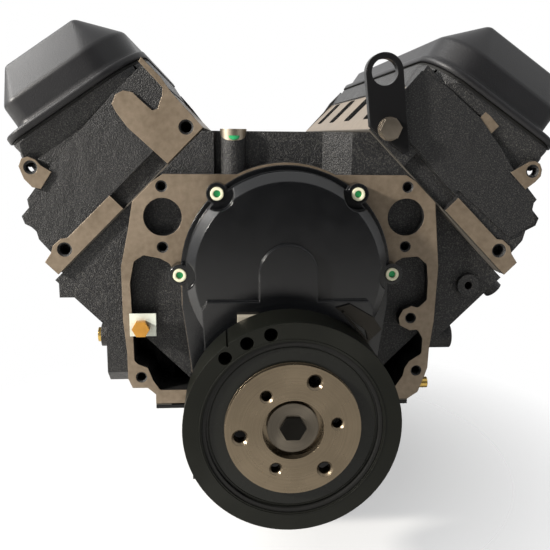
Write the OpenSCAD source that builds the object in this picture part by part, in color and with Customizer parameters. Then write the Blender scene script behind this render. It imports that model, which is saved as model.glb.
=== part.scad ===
// Ninety degree vee eight engine, long block: cylinder block, heads, covers, crank and valve gear.
// Millimetres. +X is the viewer's right when facing the front, +Y runs to the rear, +Z is up.
// The origin is on the crankshaft axis, in the rear face of the flywheel flange.
// Most places are counted rearward from the machined front face of the block.

/* [Block] */
// Distance from the last main bearing to the block's rear face
rear_end = 43.4; // [40.4:0.5:58]
// Height of the cylinder head deck above the crankshaft axis
deck_height = 248.9; // [248.5:0.1:254]
// Distance between neighbouring bores of one bank
bore_pitch = 122.9; // [122:0.1:123.5]
// Distance from the block's front face to the first bore of the right bank
bore1_y = 74; // [73:0.5:75]
// How far the left bank sits behind the right bank
bank_offset = 22.9; // [22:0.1:24]
// Deck width from the bore axis to the inner edge over the valley
deck_in = 131; // [129:0.5:132]
// Deck width from the bore axis to the outer flank
deck_out = 83.5; // [82:0.5:86]
// Depth of the machined plate that stands in front of the rough front wall
front_plate = 18; // [15:1:22]
// Depth of the front housing that carries the plate
front_house = 75; // [66:1:90]
// Half width of the oil pan rail
rail_half = 134; // [133:0.5:138]
// Height of the pan rail below the crankshaft axis
rail_drop = 12; // [10:0.5:16]
// Width of the pan rail
rail_w = 16; // [14:0.5:18]
// Thickness of the clutch housing flange at the rear
bell_t = 14; // [12:0.5:16]
// Radius of the crankcase around the crankshaft
case_r = 98; // [96.5:0.5:100]
// Thickness of the main bearing walls
wall_main = 26; // [24:0.5:27]
// Depth of the windows in the front plate
window_d = 58; // [40:1:62]
// Radius of the coolant ports in the front face
coolant_r = 19; // [16:0.5:21]
// Radius of the core plug holes in the flanks
core_r = 20.6; // [18:0.1:24]

/* [Crankshaft and pistons] */
// Cylinder bore
bore = 108; // [104:0.5:110]
// Piston stroke
stroke = 101.6; // [98:0.2:103]
// Depth of the piston crowns below the deck at top dead centre
deck_clear = 0.5; // [0.2:0.1:1]
// Diameter of the crankshaft main journals
main_d = 69.85; // [68:0.05:71]
// Diameter of the crankpins
pin_d = 55.9; // [54:0.1:57]
// Wall of the main bearing shells
main_shell = 2.4; // [2:0.1:2.8]
// Wall of the rod bearing shells
rod_shell = 1.5; // [1.2:0.1:1.8]
// Outer radius of the counterweights
weight_r = 88; // [84:0.5:89]
// Radius of the crankshaft nose
nose_r = 20.3; // [19:0.1:21.5]
// Radius of the flywheel flange
flange_r = 50; // [48:0.5:52]
// How far the flywheel flange stands out behind the block
flange_proud = 11; // [9:0.5:14]
// Pitch circle diameter of the flywheel bolt holes
flange_pcd = 76.2; // [74:0.1:78]
// Diameter of the flywheel bolt holes
flange_hole = 11.1; // [9:0.1:12]
// Diameter of the piston pins
wrist_d = 25.1; // [23:0.1:26]
// Height of the piston pin below the piston crown
crown_h = 41.8; // [40:0.1:42]

/* [Camshaft and valve gear] */
// Height of the camshaft above the crankshaft
cam_z = 130.9; // [130:0.1:131.5]
// Diameter of the camshaft journals
cam_d = 49.5; // [48:0.1:51]
// Wall of the camshaft bearings
cam_shell = 2.2; // [1.8:0.1:2.6]
// Radius of the base circle of the cam lobes
lobe_r = 15; // [14:0.1:16]
// Lift of the cam lobes
lobe_lift = 5.4; // [4.5:0.1:5.8]
// Diameter of the valve lifters
lifter_d = 21.4; // [20:0.1:22]
// Length of the valve lifters
lifter_len = 52; // [48:0.5:54]
// Diameter of the pushrods
pushrod_d = 8; // [7:0.1:9.5]
// Diameter of the valve stems
stem_d = 9.4; // [8:0.1:10]
// Diameter of the intake valve heads
intake_d = 52; // [46:0.5:54]
// Diameter of the exhaust valve heads
exhaust_d = 43; // [38:0.5:46]
// Outer diameter of the valve springs
spring_d = 34; // [30:0.5:36]
// Lean of the valves from the bore axis, in degrees
valve_lean = 15; // [13:0.5:16]
// Length of the valves
valve_len = 118; // [117:0.5:121]
// Distance along the engine between a cylinder's two valves
valve_gap = 53; // [51:0.5:54]

/* [Cylinder heads] */
// Distance from the last right bore to the rear pads of the right head
head_tail = 82.3; // [79.3:0.5:87]
// Distance from the first right bore to the front pads of the right head
head_lead_right = 76; // [74:0.5:77]
// Distance from the first left bore to the front pads of the left head
head_lead_left = 85; // [84:0.5:88]
// Thickness of the head gaskets
head_gasket_t = 1.5; // [1:0.1:2.5]
// Width of the intake ports
intake_w = 46; // [40:0.5:50]
// Height of the intake ports
intake_h = 44; // [36:0.5:46]
// Width of the exhaust ports
exhaust_w = 42; // [34:0.5:46]
// Height of the exhaust ports
exhaust_h = 32; // [26:0.5:36]
// Depth of the ports
port_depth = 30; // [20:0.5:34]

/* [Valve covers] */
// Width of the valve cover rail on a head
rail_a = 155.4; // [152:0.2:158]
// Thickness of the valve cover gaskets
cover_gasket_t = 3; // [2:0.2:4]
// Thickness of the valve cover flanges
cover_flange_t = 5; // [4:0.2:7]
// Height of the upright band round a valve cover
cover_band = 36.5; // [32:0.5:42]
// Height of a valve cover
cover_h = 72; // [70:0.5:78]
// Wall of the valve covers
cover_wall = 2.5; // [2:0.1:4]
// Radius of the oil filler opening
filler_r = 16; // [13:0.5:18]
// Radius of the oil filler cap
filler_cap_r = 27; // [24:0.5:30]

/* [Timing drive and cover] */
// Number of teeth of the crankshaft sprocket, half of the camshaft sprocket's
crank_teeth = 18; // [16:1:19]
// Pitch of the timing chain
chain_pitch = 12.7; // [12:0.1:12.9]
// Width of the timing chain
chain_w = 14; // [11:0.5:16]
// Radius of the timing cover flange around the camshaft
cover_r = 106; // [104:0.5:108]
// Radius of the raised drum of the timing cover
dome_r = 91; // [90:0.5:92]
// How far the drum of the timing cover stands in front of the block
dome_y = 34; // [33:0.5:38]
// How far the lower housing of the timing cover stands in front of the block
snout_y = 40; // [39:0.5:44]
// Wall of the timing cover
timing_wall = 3; // [2:0.1:4]
// Thickness of the timing cover flange
timing_flange_t = 8; // [6:0.5:10]
// Thickness of the timing cover gasket
timing_gasket_t = 1.5; // [1:0.1:2]
// Radius of the round arch panel on the timing cover
arch_r = 28.5; // [22:0.5:34]
// Outer radius of the front crankshaft seal
seal_r = 35; // [33:0.5:38]

/* [Balancer] */
// Outer diameter of the balancer ring
balancer_d = 203.2; // [200:0.2:206]
// Width of the balancer ring
balancer_w = 50; // [44:0.5:52]
// How far the front of the balancer ring stands in front of the block
balancer_y = 99.6; // [98:0.2:103]
// Inner radius of the balancer ring
ring_in_r = 84; // [82:0.5:88]
// Thickness of the rubber between hub and ring
rubber_t = 4; // [3:0.5:6]
// Radius of the machined pulley face on the hub
hub_face_r = 62.9; // [60:0.1:66]
// Radius of the hub sleeve that runs in the front seal
sleeve_r = 28.5; // [26:0.1:30]
// Radius of the recess for the hub bolt
hub_recess_r = 28.6; // [26:0.1:31]
// Pitch circle diameter of the three large pulley holes
pulley_pcd_big = 99; // [94:0.2:104]
// Pitch circle diameter of the three small pulley holes
pulley_pcd_small = 82.2; // [78:0.2:86]
// Diameter of the large pulley holes
pulley_hole_big = 11.6; // [8:0.1:13]
// Diameter of the small pulley holes
pulley_hole_small = 9.4; // [6:0.1:10.5]

/* [Oil pan] */
// Thickness of the oil pan gasket
pan_gasket_t = 2; // [1:0.2:3]
// Wall of the oil pan
pan_wall = 2.5; // [2:0.1:4]
// Thickness of the oil pan flange
pan_flange_t = 4; // [3:0.2:6]
// Half width of the oil pan below its flange
pan_half = 97; // [95:0.5:100]
// Depth of the shallow front of the oil pan below the crankshaft
pan_front_z = 105; // [102:0.5:112]
// Depth of the oil pan sump below the crankshaft
sump_z = 200; // [190:1:215]
// Distance from the block's front face to the front of the sump
sump_y = 190; // [160:1:230]

/* [Front details] */
// Distance between the upper and the lower water pump holes
pump_hole_z = 60.8; // [58:0.1:63]
// Distance between the left and the right water pump holes
pump_hole_x = 247.4; // [246:0.1:249]
// Height of the lower water pump holes above the crankshaft
pump_hole_low = 153.8; // [152:0.1:155]
// Diameter of the threaded accessory holes
thread_d = 8.6; // [7:0.1:9.5]
// Thickness of the lifting eye
eye_t = 10; // [8:0.5:12]
// Width of the lifting eye
eye_w = 36.6; // [34:0.2:40]
// Diameter of the hole of the lifting eye
eye_hole = 25.4; // [20:0.2:27]
// Distance from the lifting eye's bolt to its hole
eye_reach = 54; // [48:0.5:60]

/* [Fasteners and clearances] */
// Diameter of the head bolts
head_bolt_d = 11; // [9:0.1:12]
// Diameter of the main cap bolts
cap_bolt_d = 12; // [10:0.1:13]
// Diameter of the small cover bolts
small_bolt_d = 6; // [5:0.1:7]
// Radial clearance of bolts in their holes
bolt_gap = 0.4; // [0.3:0.05:0.6]
// Radial running clearance of the journals in their bearings
run_gap = 0.05; // [0.02:0.01:0.08]
// Clearance between pieces that move past each other
move_gap = 0.5; // [0.3:0.05:0.8]
// Clearance between pieces that are pressed or pushed together
seat_gap = 0.02; // [0.01:0.005:0.05]

/* [Hidden] */
$fn = 64;

bank_lean = 45;
S = sin(bank_lean);
SIDES = [-1, 1];
BANK = [0:3];
MAINS = [0:4];
over = 1;
head_base = deck_height + head_gasket_t;
pin1_y = bore1_y + bank_offset / 2;
main1_y = pin1_y - bore_pitch / 2;
block_len = main1_y + 4 * bore_pitch + rear_end;
head_len = head_lead_right + 3 * bore_pitch + head_tail;
front_y = -(block_len + flange_proud);
main_half = (wall_main + 2) / 2;
main_bore_r = main_d / 2 + run_gap + main_shell + seat_gap;
cam_bore_r = cam_d / 2 + run_gap + cam_shell + seat_gap;
throw_r = stroke / 2;
rod_len = deck_height - deck_clear - crown_h - throw_r;
throw_at = [45, 135, -45, 225];
skirt = rod_len - throw_r - weight_r - move_gap;
crown_t = 12;
ring_land = 8;
rod_w = bank_offset - 0.6;
lifter_u = -cam_z * S;
lifter_foot = cam_z * S + lobe_r + lobe_lift + move_gap;
lifter_top = lifter_foot + lifter_len;
lifter_cup = 4;
valley_u = -72;
boss_u = -108;
boss_v = lifter_top + 6;
pocket_sink = 3;
slab_v = deck_height - 22.9;
skirt_x = rail_half + 10;
rear_wall = 34;
seal_bore_r = flange_r + 12;
cover_side = [4, 144];
cover_end = 5;
cover_ridge = [38, 35];
roof_scale = [0.607, (head_len - 2 * cover_ridge[1]) / (head_len - 2 * cover_end)];
cover_mid = 83;
boss_h = 24;
cover_bolt_r = 4;
rail_tilt = 11.13;
rail_u = -140.8;
rail_v = 86.9;
valve_foot = [-4, 11];
pivot_u = -66;
push_u = -84;
rocker_w = 122;
floor_w = 70;
intake_face = -134;
exhaust_face = 72;
pad_y = 62;
pad_z = 46;
fitting_y = 20;
fitting_r = 6;
pan_top = -rail_drop - pan_gasket_t;
timing_sink = 4;
thrust_t = 4;
cover_back = timing_gasket_t;
drum_r = 52;
sprocket_y = 20;
tooth_half = 3;
roller_r = 3.2;
link_r = 4.6;
bolt_y = 20;
washer_t = 6;
dome_fall = 9;
scallop_r = 16;
hub_y = balancer_y + 1.7;
recess_d = 17;
window_shallow = 12;
deep_from = 87;
port_front_d = 14;
cover_bolts = [[-69, 209], [69, 209], [-106, 129], [106, 129]];
lug_holes = [[-146.8, 70.9], [-148.3, 17.1], [133.1, 77.7], [141.9, 19.6]];
bell_bolts = [[52, 254], [128, 214], [196, 62]];
bell_dowel = [178, 110];
head_bolt_u = [-67, 46];
head_bolt_seat = [floor_w, 46];
head_bolt_in = 21;
end_bolt_in = 12;
rail_back = 8;
rail_fall = 22;
rail_corner = [48, 18];

function bore_y(side, i) = bore1_y + (side < 0 ? bank_offset : 0) + i * bore_pitch;
function head_bolt_y(side, i) =
    bore_y(side, i) - bore_pitch / 2 + (i == 0 ? end_bolt_in : i == 4 ? -end_bolt_in : 0);
function main_y(i) = main1_y + i * bore_pitch;
function pin_y(i) = pin1_y + i * bore_pitch;
function head_front(side) = bore_y(side, 0) - (side < 0 ? head_lead_left : head_lead_right);
function bx(u, v) = (u + v) * S;
function bz(u, v) = (v - u) * S;
function both(half) = concat(half, [for (i = [len(half) - 1:-1:0]) [-half[i][0], half[i][1]]]);
function throw_phase(side, i) = side * throw_at[i] - bank_lean;
function pin_u(side, i) = throw_r * sin(throw_phase(side, i));
function pin_v(side, i) = throw_r * cos(throw_phase(side, i));
function rod_lean(side, i) = asin(pin_u(side, i) / rod_len);
function wrist_v(side, i) = pin_v(side, i) + rod_len * cos(rod_lean(side, i));
function rod_y(side, i) = pin_y(i) - side * bank_offset / 2;
function valve_y(side, i, intake) = bore_y(side, i) + (intake ? -valve_gap / 2 + 1 : valve_gap / 2 + 1);
function sprocket_r(teeth) = chain_pitch / (2 * sin(180 / teeth));

module at_front() {
    translate([0, front_y, 0]) children();
}

// Extrudes an outline of X and Z rearward from y0
module along_y(y0, len) {
    translate([0, y0 + len, 0]) rotate([90, 0, 0]) linear_extrude(len) children();
}

module rod_y_axis(r, y0, y1, x = 0, z = 0) {
    translate([x, y1, z]) rotate([90, 0, 0]) cylinder(h = y1 - y0, r = r);
}

module ring_y(r_out, r_in, y0, y1, x = 0, z = 0) {
    difference() {
        rod_y_axis(r_out, y0, y1, x, z);
        rod_y_axis(r_in, y0 - over, y1 + over, x, z);
    }
}

module hex_y(r, y0, y1, x = 0, z = 0) {
    translate([x, y1, z]) rotate([90, 0, 0]) cylinder(h = y1 - y0, r = r, $fn = 6);
}

// A blind hole with a chamfered mouth, drilled rearward from y0
module drilled_y(r, y0, depth, x, z) {
    rod_y_axis(r, y0 - over, y0 + depth, x, z);
    translate([x, y0 + r * 0.35, z]) rotate([90, 0, 0]) cylinder(h = r * 0.7, r1 = r, r2 = r * 1.7);
}

// Bank coordinates: x is outward and down along the deck, z is along the bore
module bank(side) {
    at_front() mirror([side < 0 ? 1 : 0, 0, 0]) rotate([0, bank_lean, 0]) children();
}

// Head coordinates: as the bank's, counted from the head's front pads and its gasket face
module on_head(side) {
    bank(side) translate([0, head_front(side), head_base]) children();
}

// Valve cover coordinates: x across the rail from its inner edge, z square to the rail
module on_rail(side) {
    on_head(side) on_rail_plane() children();
}

module rounded_rect(w, l, r) {
    offset(r) square([w - 2 * r, l - 2 * r], center = true);
}

module block_section() {
    polygon(both([
        [bx(-deck_in, deck_height), bz(-deck_in, deck_height)],
        [bx(deck_out, deck_height), bz(deck_out, deck_height)],
        [skirt_x, skirt_x - deck_out / S],
        [rail_half, 10],
        [rail_half, -rail_drop]
    ]));
}

module plate_outline() {
    polygon([
        [-122, 226.5], [-151, 207], [-157.9, 168.9], [-165.4, 134], [-165.3, 78.8], [-162.1, 43],
        [-162.1, 15.9], [-157.8, 5.5], [-142.2, 5.3], [-134, -2], [-rail_half, -rail_drop],
        [rail_half, -rail_drop], [144.8, -4.7], [151.4, 13.4], [154.2, 22.8], [154.8, 43.3],
        [158.2, 75.2], [159.7, 132.5], [152, 207], [122, 226.5]
    ]);
    translate([0, cam_z]) circle(cover_r + 1.5);
}

module window_outlines() {
    offset(4) offset(-4) {
        polygon([
            [-155.5, 60], [-157, 118], [-152.6, 139.2], [-142.9, 145.7], [-126.6, 142.4],
            [-117, 137], [-100, 100], [-88, 20], [-88, 2.6], [-129.4, 2.6], [-136.5, 13.5],
            [-141.6, 27.2], [-151.6, 31.3], [-155.1, 35.2]
        ]);
        polygon([
            [112, 136], [121.4, 142.1], [137.5, 143.4], [147.3, 135.3], [149.5, 118], [149.4, 97],
            [140.7, 88.8], [133.3, 90.6], [124.5, 86.5], [120.4, 78.2], [122, 69.9], [133, 64.3],
            [141.2, 65.1], [147, 55.3], [146.7, 38.4], [133.8, 30], [129.2, 22.4], [127.5, 13.8],
            [118.6, 0.2], [88, 0.2], [88, 20], [100, 100]
        ]);
    }
}

module timing_outline(grow = 0) {
    offset(delta = grow) {
        translate([0, cam_z]) circle(cover_r);
        polygon(both([[cover_r - 1, cam_z], [cover_r - 1, 95], [97, 34], [92, -rail_drop]]));
    }
}

// The windows are shallow in front of the first cylinders and deep below them
module cut_windows() {
    along_y(-over, window_shallow + over) difference() {
        window_outlines();
        timing_outline(0.5);
    }
    along_y(-over, window_d + over) intersection() {
        difference() {
            window_outlines();
            timing_outline(0.5);
        }
        polygon(both([[deep_from, 0], [deep_from + 150, 150], [deep_from + 150, -20], [deep_from, -20]]));
    }
}

module crank_bay(i) {
    y0 = main_y(i) + wall_main / 2;
    y1 = main_y(i + 1) - wall_main / 2;
    along_y(y0, y1 - y0) {
        circle(case_r);
        polygon(both([[rail_half - rail_w, 14], [rail_half - rail_w, -rail_drop - over]]));
    }
}

module valley_outline() {
    polygon(both([
        [12, cam_z + cam_bore_r + 6],
        [bx(boss_u, 140), bz(boss_u, 140)],
        [bx(boss_u, boss_v), bz(boss_u, boss_v)],
        [bx(valley_u, boss_v), bz(valley_u, boss_v)],
        [bx(valley_u, slab_v), bz(valley_u, slab_v)],
        [bx(-118, slab_v), bz(-118, slab_v)],
        [bx(-118, slab_v), 290]
    ]));
}

module bank_cuts(side) {
    for (i = BANK) {
        translate([0, bore_y(side, i), 80]) cylinder(h = deck_height - 80 + over, r = bore / 2);
        translate([(push_u + lifter_u) / 2 - 14, bore_y(side, i) - 35, boss_v - pocket_sink])
            cube([28, 72, deck_height - boss_v + pocket_sink + over]);
        for (intake = [true, false])
            translate([lifter_u, valve_y(side, i, intake), -lifter_u])
                cylinder(h = boss_v + lifter_u + over, r = lifter_d / 2 + run_gap);
    }
    for (i = MAINS, u = head_bolt_u)
        translate([u, head_bolt_y(side, i), deck_height - head_bolt_in - over])
            cylinder(h = head_bolt_in + 2 * over, r = head_bolt_d / 2 + bolt_gap);
    for (i = [0:2])
        translate([deck_out - 8, bore_y(side, i) + bore_pitch / 2, 208])
            rotate([0, 90, 0]) cylinder(h = 8 + over, r = core_r);
}

module side_boss(x0, x1, y, z, r) {
    translate([x0, y, z]) rotate([0, 90, 0]) cylinder(h = x1 - x0, r = r);
}

// The mechanical fuel pump's pad on the left flank, closed by a plug
module fuel_pump_pad() {
    translate([-188, 0, 0]) rotate([90, 0, 90]) linear_extrude(40) polygon([
        [pad_y - 30, 12], [pad_y - 14, -2], [pad_y + 18, -2], [pad_y + 32, 14], [pad_y + 32, 66],
        [pad_y + 16, 85], [pad_y - 16, 85], [pad_y - 30, 68]
    ]);
    mirror([1, 0, 0]) side_boss(150, 197, pad_y, pad_z, 13);
}

// What stands forward of the top wall behind the plate, seen from above
module front_ledges() {
    polygon([[-125, 24], [-125, 10], [-72, 10], [-70, 16], [-70, 24]]);
    polygon([[38, 24], [38, 18], [66, 4], [150, 4], [150, 24]]);
}

module cylinder_block() {
    color("#2b2b2c") difference() {
        union() {
            at_front() {
                along_y(front_plate, block_len - front_plate) block_section();
                along_y(0, front_house) plate_outline();
                along_y(block_len - bell_t, bell_t) bell_outline();
                translate([-52.5, front_plate - 1, 226]) cylinder(h = top_z() - 226, r = 13);
                intersection() {
                    along_y(0, 2 * front_plate) block_section();
                    translate([0, 0, 215]) linear_extrude(80) front_ledges();
                }
                fuel_pump_pad();
                side_boss(140, 196, 62, 40, 14);
                for (side = SIDES)
                    translate([side > 0 ? rail_half - 10 : -rail_half - 22, 190, -2]) cube([32, 112, 44]);
            }
            bank(1) translate([70, 60, 240]) rotate([0, 90, 0]) cylinder(h = 36, r = 11);
            at_front() translate([-231.5, front_plate, 98.5]) cube([50, 46, 40]);
            bank(1) translate([62.5, 12, 217.5]) rotate([-90, 0, 0]) cylinder(h = 20, r = 12);
        }
        at_front() {
            cut_windows();
            along_y(-over, timing_sink + over) timing_outline(-12);
            rod_y_axis(main_bore_r, -over, block_len - rear_wall);
            rod_y_axis(flange_r + 4, block_len - rear_wall, block_len - 12);
            rod_y_axis(seal_bore_r, block_len - 12, block_len + over);
            rod_y_axis(cam_bore_r, -over, block_len - 20, 0, cam_z);
            translate([-80, -over, -rail_drop - over]) cube([160, block_len + 2 * over, rail_drop + over]);
            for (i = [0:3]) crank_bay(i);
            along_y(44, block_len - 78) valley_outline();
            for (i = MAINS, x = [-52, 52])
                translate([x, main_y(i), -over]) cylinder(h = 46, r = cap_bolt_d / 2 + bolt_gap);
            for (x = [-1, 1], dz = [0, pump_hole_z])
                drilled_y(thread_d / 2, 0, port_front_d, x * pump_hole_x / 2, pump_hole_low + dz);
            for (x = [-1, 1])
                rod_y_axis(
                    coolant_r, -over, port_front_d, x * (pump_hole_x / 2 - 0.7),
                    pump_hole_low + pump_hole_z / 2
                );
            for (h = lug_holes) drilled_y(thread_d / 2, 0, 24, h[0], h[1]);
            for (h = cover_bolts)
                rod_y_axis(small_bolt_d / 2 + bolt_gap, -over, 20, h[0], h[1]);
            for (x = [-1, 1], h = bell_bolts)
                rod_y_axis(thread_d / 2, block_len - 24, block_len + over, x * h[0], h[1]);
            for (x = [-1, 1])
                rod_y_axis(7.9, block_len - 16, block_len + over, x * bell_dowel[0], bell_dowel[1]);
            for (x = [-1, 1], y = pan_bolt_ys())
                translate([x * (rail_half - rail_w / 2), y, -rail_drop - over])
                    cylinder(h = 16, r = small_bolt_d / 2 + bolt_gap);
            translate([-52.5, front_plate - 1, top_z() - 22]) cylinder(h = 24, r = 8.5);
            for (side = SIDES, p = [[-36, 26], [36, 26], [0, 8]])
                translate([side * (rail_half + 22), 246 + p[0], p[1]]) rotate([0, -side * 90, 0])
                    cylinder(h = 24, r = thread_d / 2 + 0.8);
            mirror([1, 0, 0]) side_boss(190, 200, pad_y, pad_z, 8);
            for (y = [pad_y - 24, pad_y + 24])
                mirror([1, 0, 0]) side_boss(170, 200, y, pad_z - 8, thread_d / 2);
            side_boss(178, 200, 62, 40, 5);
            side_boss(rail_half + 8, rail_half + 40, fitting_y, -1, fitting_r);
        }
        bank(1) translate([62.5, 11, 217.5]) rotate([-90, 0, 0]) cylinder(h = 20, r = thread_d / 2);
        for (side = SIDES) bank(side) {
            bank_cuts(side);
            translate([-deck_in - 20, -30, deck_height]) cube([400, block_len - bell_t + 30, 120]);
        }
    }
}

function top_z() = bz(-deck_in, deck_height);
function pan_bolt_ys() = [for (i = [0:6]) 40 + i * (block_len - 80) / 6];

module bell_outline() {
    polygon(both([
        [40, top_z() + 2], [72, 268], [118, 238], [146, 212], [160, 170], [206, 96],
        [214, 48], [200, 4], [186, -rail_drop]
    ]));
}

module core_plugs() {
    color("#b5a36a") for (side = SIDES) bank(side) for (i = [0:2])
        translate([deck_out - 8, bore_y(side, i) + bore_pitch / 2, 208]) rotate([0, 90, 0]) difference() {
            cylinder(h = 6.5, r = core_r - seat_gap);
            translate([0, 0, 1.5]) cylinder(h = 8, r = core_r - 2);
        }
}

module cap_outline() {
    polygon(both([[74, 0], [74, -30], [62, -46], [44, -58]]));
}

module main_bearing_caps() {
    color("#4a4a4c") at_front() difference() {
        for (i = MAINS) along_y(main_y(i) - wall_main / 2, wall_main) cap_outline();
        rod_y_axis(main_bore_r, 0, block_len);
        for (i = MAINS, x = [-52, 52])
            translate([x, main_y(i), -70]) cylinder(h = 80, r = cap_bolt_d / 2 + bolt_gap);
        for (i = MAINS, x = [-52, 52])
            translate([x, main_y(i), -70]) cylinder(h = 18, r = cap_bolt_d + 1);
    }
}

module main_cap_bolts() {
    color("#3a3a3c") at_front() for (i = MAINS, x = [-52, 52]) translate([x, main_y(i), -52]) {
        cylinder(h = 94, r = cap_bolt_d / 2);
        translate([0, 0, -9]) cylinder(h = 9, r = cap_bolt_d * 0.8, $fn = 6);
    }
}

module shell_halves(r_out, r_in, y0, y1) {
    for (flip = [0, 180]) rotate([0, flip, 0]) difference() {
        ring_y(r_out, r_in, y0, y1);
        translate([-60, y0 - over, -60 + seat_gap]) cube([120, y1 - y0 + 2 * over, 60]);
    }
}

module main_bearings() {
    color("#b9b6ae") at_front() for (i = MAINS)
        translate([0, main_y(i), 0])
            shell_halves(main_bore_r - seat_gap, main_d / 2 + run_gap, -wall_main / 2 + 2, wall_main / 2 - 2);
}

module cam_bearings() {
    color("#b9b6ae") at_front() for (i = MAINS)
        ring_y(cam_bore_r - seat_gap, cam_d / 2 + run_gap, main_y(i) - 10, main_y(i) + 10, 0, cam_z);
}

// One crank cheek with its counterweight, seen along the crankshaft; a is the throw's angle
module cheek_outline(a) {
    rotate(-a) {
        circle(main_d / 2 + 4);
        translate([0, throw_r]) circle(pin_d / 2 + 7);
        polygon([
            [-main_d / 2 - 4, 0], [-pin_d / 2 - 7, throw_r], [pin_d / 2 + 7, throw_r], [main_d / 2 + 4, 0]
        ]);
        intersection() {
            circle(weight_r);
            polygon([
                [-main_d / 2, 10], [-100, -46], [-70, -100], [70, -100], [100, -46], [main_d / 2, 10]
            ]);
        }
    }
}

module crankshaft() {
    cheek = (bore_pitch - 2 * main_half - 2 * rod_w - 1.6) / 2;
    color("#6d675f") at_front() difference() {
        union() {
            for (i = MAINS)
                rod_y_axis(main_d / 2, main_y(i) - main_half - over, main_y(i) + main_half + over);
            for (i = BANK) {
                along_y(main_y(i) + main_half, cheek) cheek_outline(throw_at[i]);
                along_y(main_y(i + 1) - main_half - cheek, cheek) cheek_outline(throw_at[i]);
                rod_y_axis(pin_d / 2, pin_y(i) - rod_w - 2, pin_y(i) + rod_w + 2,
                    throw_r * sin(throw_at[i]), throw_r * cos(throw_at[i]));
            }
            rod_y_axis(30, -4, main_y(0) - main_half);
            rod_y_axis(nose_r, -hub_y + recess_d + 2, 0);
            rod_y_axis(main_d / 2, main_y(4), block_len - 20);
            rod_y_axis(flange_r, block_len - 22, block_len + flange_proud);
            rod_y_axis(20, block_len, block_len + flange_proud);
        }
        rod_y_axis(9, -hub_y, -hub_y + 60);
        rod_y_axis(15, block_len - 6, block_len + flange_proud + over);
        for (k = [0:5])
            rod_y_axis(flange_hole / 2, block_len - 14, block_len + flange_proud + over,
                flange_pcd / 2 * sin(60 * k), flange_pcd / 2 * cos(60 * k));
    }
}

module rear_main_seal() {
    color("#2a2422") at_front()
        ring_y(seal_bore_r - seat_gap, flange_r + run_gap, block_len - 11.5, block_len - 1);
}

module on_rod(side, i) {
    bank(side) translate([pin_u(side, i), rod_y(side, i), pin_v(side, i)])
        rotate([0, -rod_lean(side, i), 0]) children();
}

module rod_bearings() {
    color("#b9b6ae") for (side = SIDES, i = BANK) on_rod(side, i)
        shell_halves(pin_d / 2 + run_gap + rod_shell, pin_d / 2 + run_gap, -rod_w / 2 + 2, rod_w / 2 - 2);
}

module rod_eye() {
    big = pin_d / 2 + run_gap + rod_shell + seat_gap;
    difference() {
        union() {
            rod_y_axis(big + 8, -rod_w / 2, rod_w / 2);
            translate([-big - 12, -rod_w / 2, -14]) cube([2 * big + 24, rod_w, 28]);
        }
        rod_y_axis(big, -rod_w, rod_w);
    }
}

module connecting_rods() {
    color("#55514c") for (side = SIDES, i = BANK) on_rod(side, i) difference() {
        union() {
            difference() {
                rod_eye();
                translate([-80, -rod_w, -80]) cube([160, 2 * rod_w, 80 + seat_gap]);
            }
            rod_y_axis(wrist_d / 2 + 6, -rod_w / 2, rod_w / 2, 0, rod_len);
            along_y(-rod_w / 2 + 3, rod_w - 6)
                polygon([[-18, 32], [-10, rod_len - 14], [10, rod_len - 14], [18, 32]]);
        }
        rod_y_axis(wrist_d / 2 + seat_gap, -rod_w, rod_w, 0, rod_len);
        for (y = [-rod_w, rod_w / 2 - 6])
            along_y(y, rod_w / 2 + 6) polygon([[-9, 48], [-5, rod_len - 26], [5, rod_len - 26], [9, 48]]);
    }
}

module rod_caps() {
    color("#4d4a46") for (side = SIDES, i = BANK) on_rod(side, i) difference() {
        rod_eye();
        translate([-80, -rod_w, -seat_gap]) cube([160, 2 * rod_w, 80]);
    }
}

module piston_pins() {
    color("#c9c6c0") for (side = SIDES, i = BANK)
        bank(side) translate([0, rod_y(side, i), wrist_v(side, i)])
            ring_y(wrist_d / 2, wrist_d / 2 - 5, -bore * 0.36, bore * 0.36);
}

module pistons() {
    r = bore / 2 - run_gap;
    color("#c2c0ba") for (side = SIDES, i = BANK)
        bank(side) translate([0, bore_y(side, i), wrist_v(side, i)]) difference() {
            translate([0, 0, -skirt]) cylinder(h = crown_h + skirt, r = r);
            translate([0, 0, -skirt - over]) cylinder(h = skirt + over + crown_h - crown_t, r = r - ring_land);
            for (z = [6, 12, 19]) translate([0, 0, crown_h - z - 2]) difference() {
                cylinder(h = 2, r = r + over);
                cylinder(h = 2, r = r - 4);
            }
        }
}

// The camshaft turns inside its tunnel; a lobe points at its own angle
module cam_lobe(y, a) {
    along_y(y - 7, 14) translate([0, cam_z]) rotate(-a) {
        circle(lobe_r);
        translate([0, lobe_r + lobe_lift - 8]) circle(8);
        polygon([[-lobe_r, 0], [-8, lobe_r + lobe_lift - 8], [8, lobe_r + lobe_lift - 8], [lobe_r, 0]]);
    }
}

module camshaft() {
    color("#5f5b56") at_front() difference() {
        union() {
            rod_y_axis(14, -8, block_len - 40, 0, cam_z);
            for (i = MAINS) rod_y_axis(cam_d / 2, main_y(i) - 10.5, main_y(i) + 10.5, 0, cam_z);
            for (side = SIDES, i = BANK) {
                cam_lobe(valve_y(side, i, true), 90 * i + (side > 0 ? 20 : 200));
                cam_lobe(valve_y(side, i, false), 90 * i + (side > 0 ? 130 : 310));
            }
            rod_y_axis(22, -8, 4, 0, cam_z);
        }
        for (k = [0:2])
            rod_y_axis(4.2, -9, 4, 15 * sin(120 * k), cam_z + 15 * cos(120 * k));
    }
}

module cam_thrust_plate() {
    color("#6b6964") at_front() along_y(timing_sink - thrust_t, thrust_t) difference() {
        translate([0, cam_z]) polygon([
            [-44, -12], [-20, -34], [20, -34], [44, -12], [44, 12], [20, 34], [-20, 34], [-44, 12]
        ]);
        translate([0, cam_z]) circle(22 + move_gap);
    }
}

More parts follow.
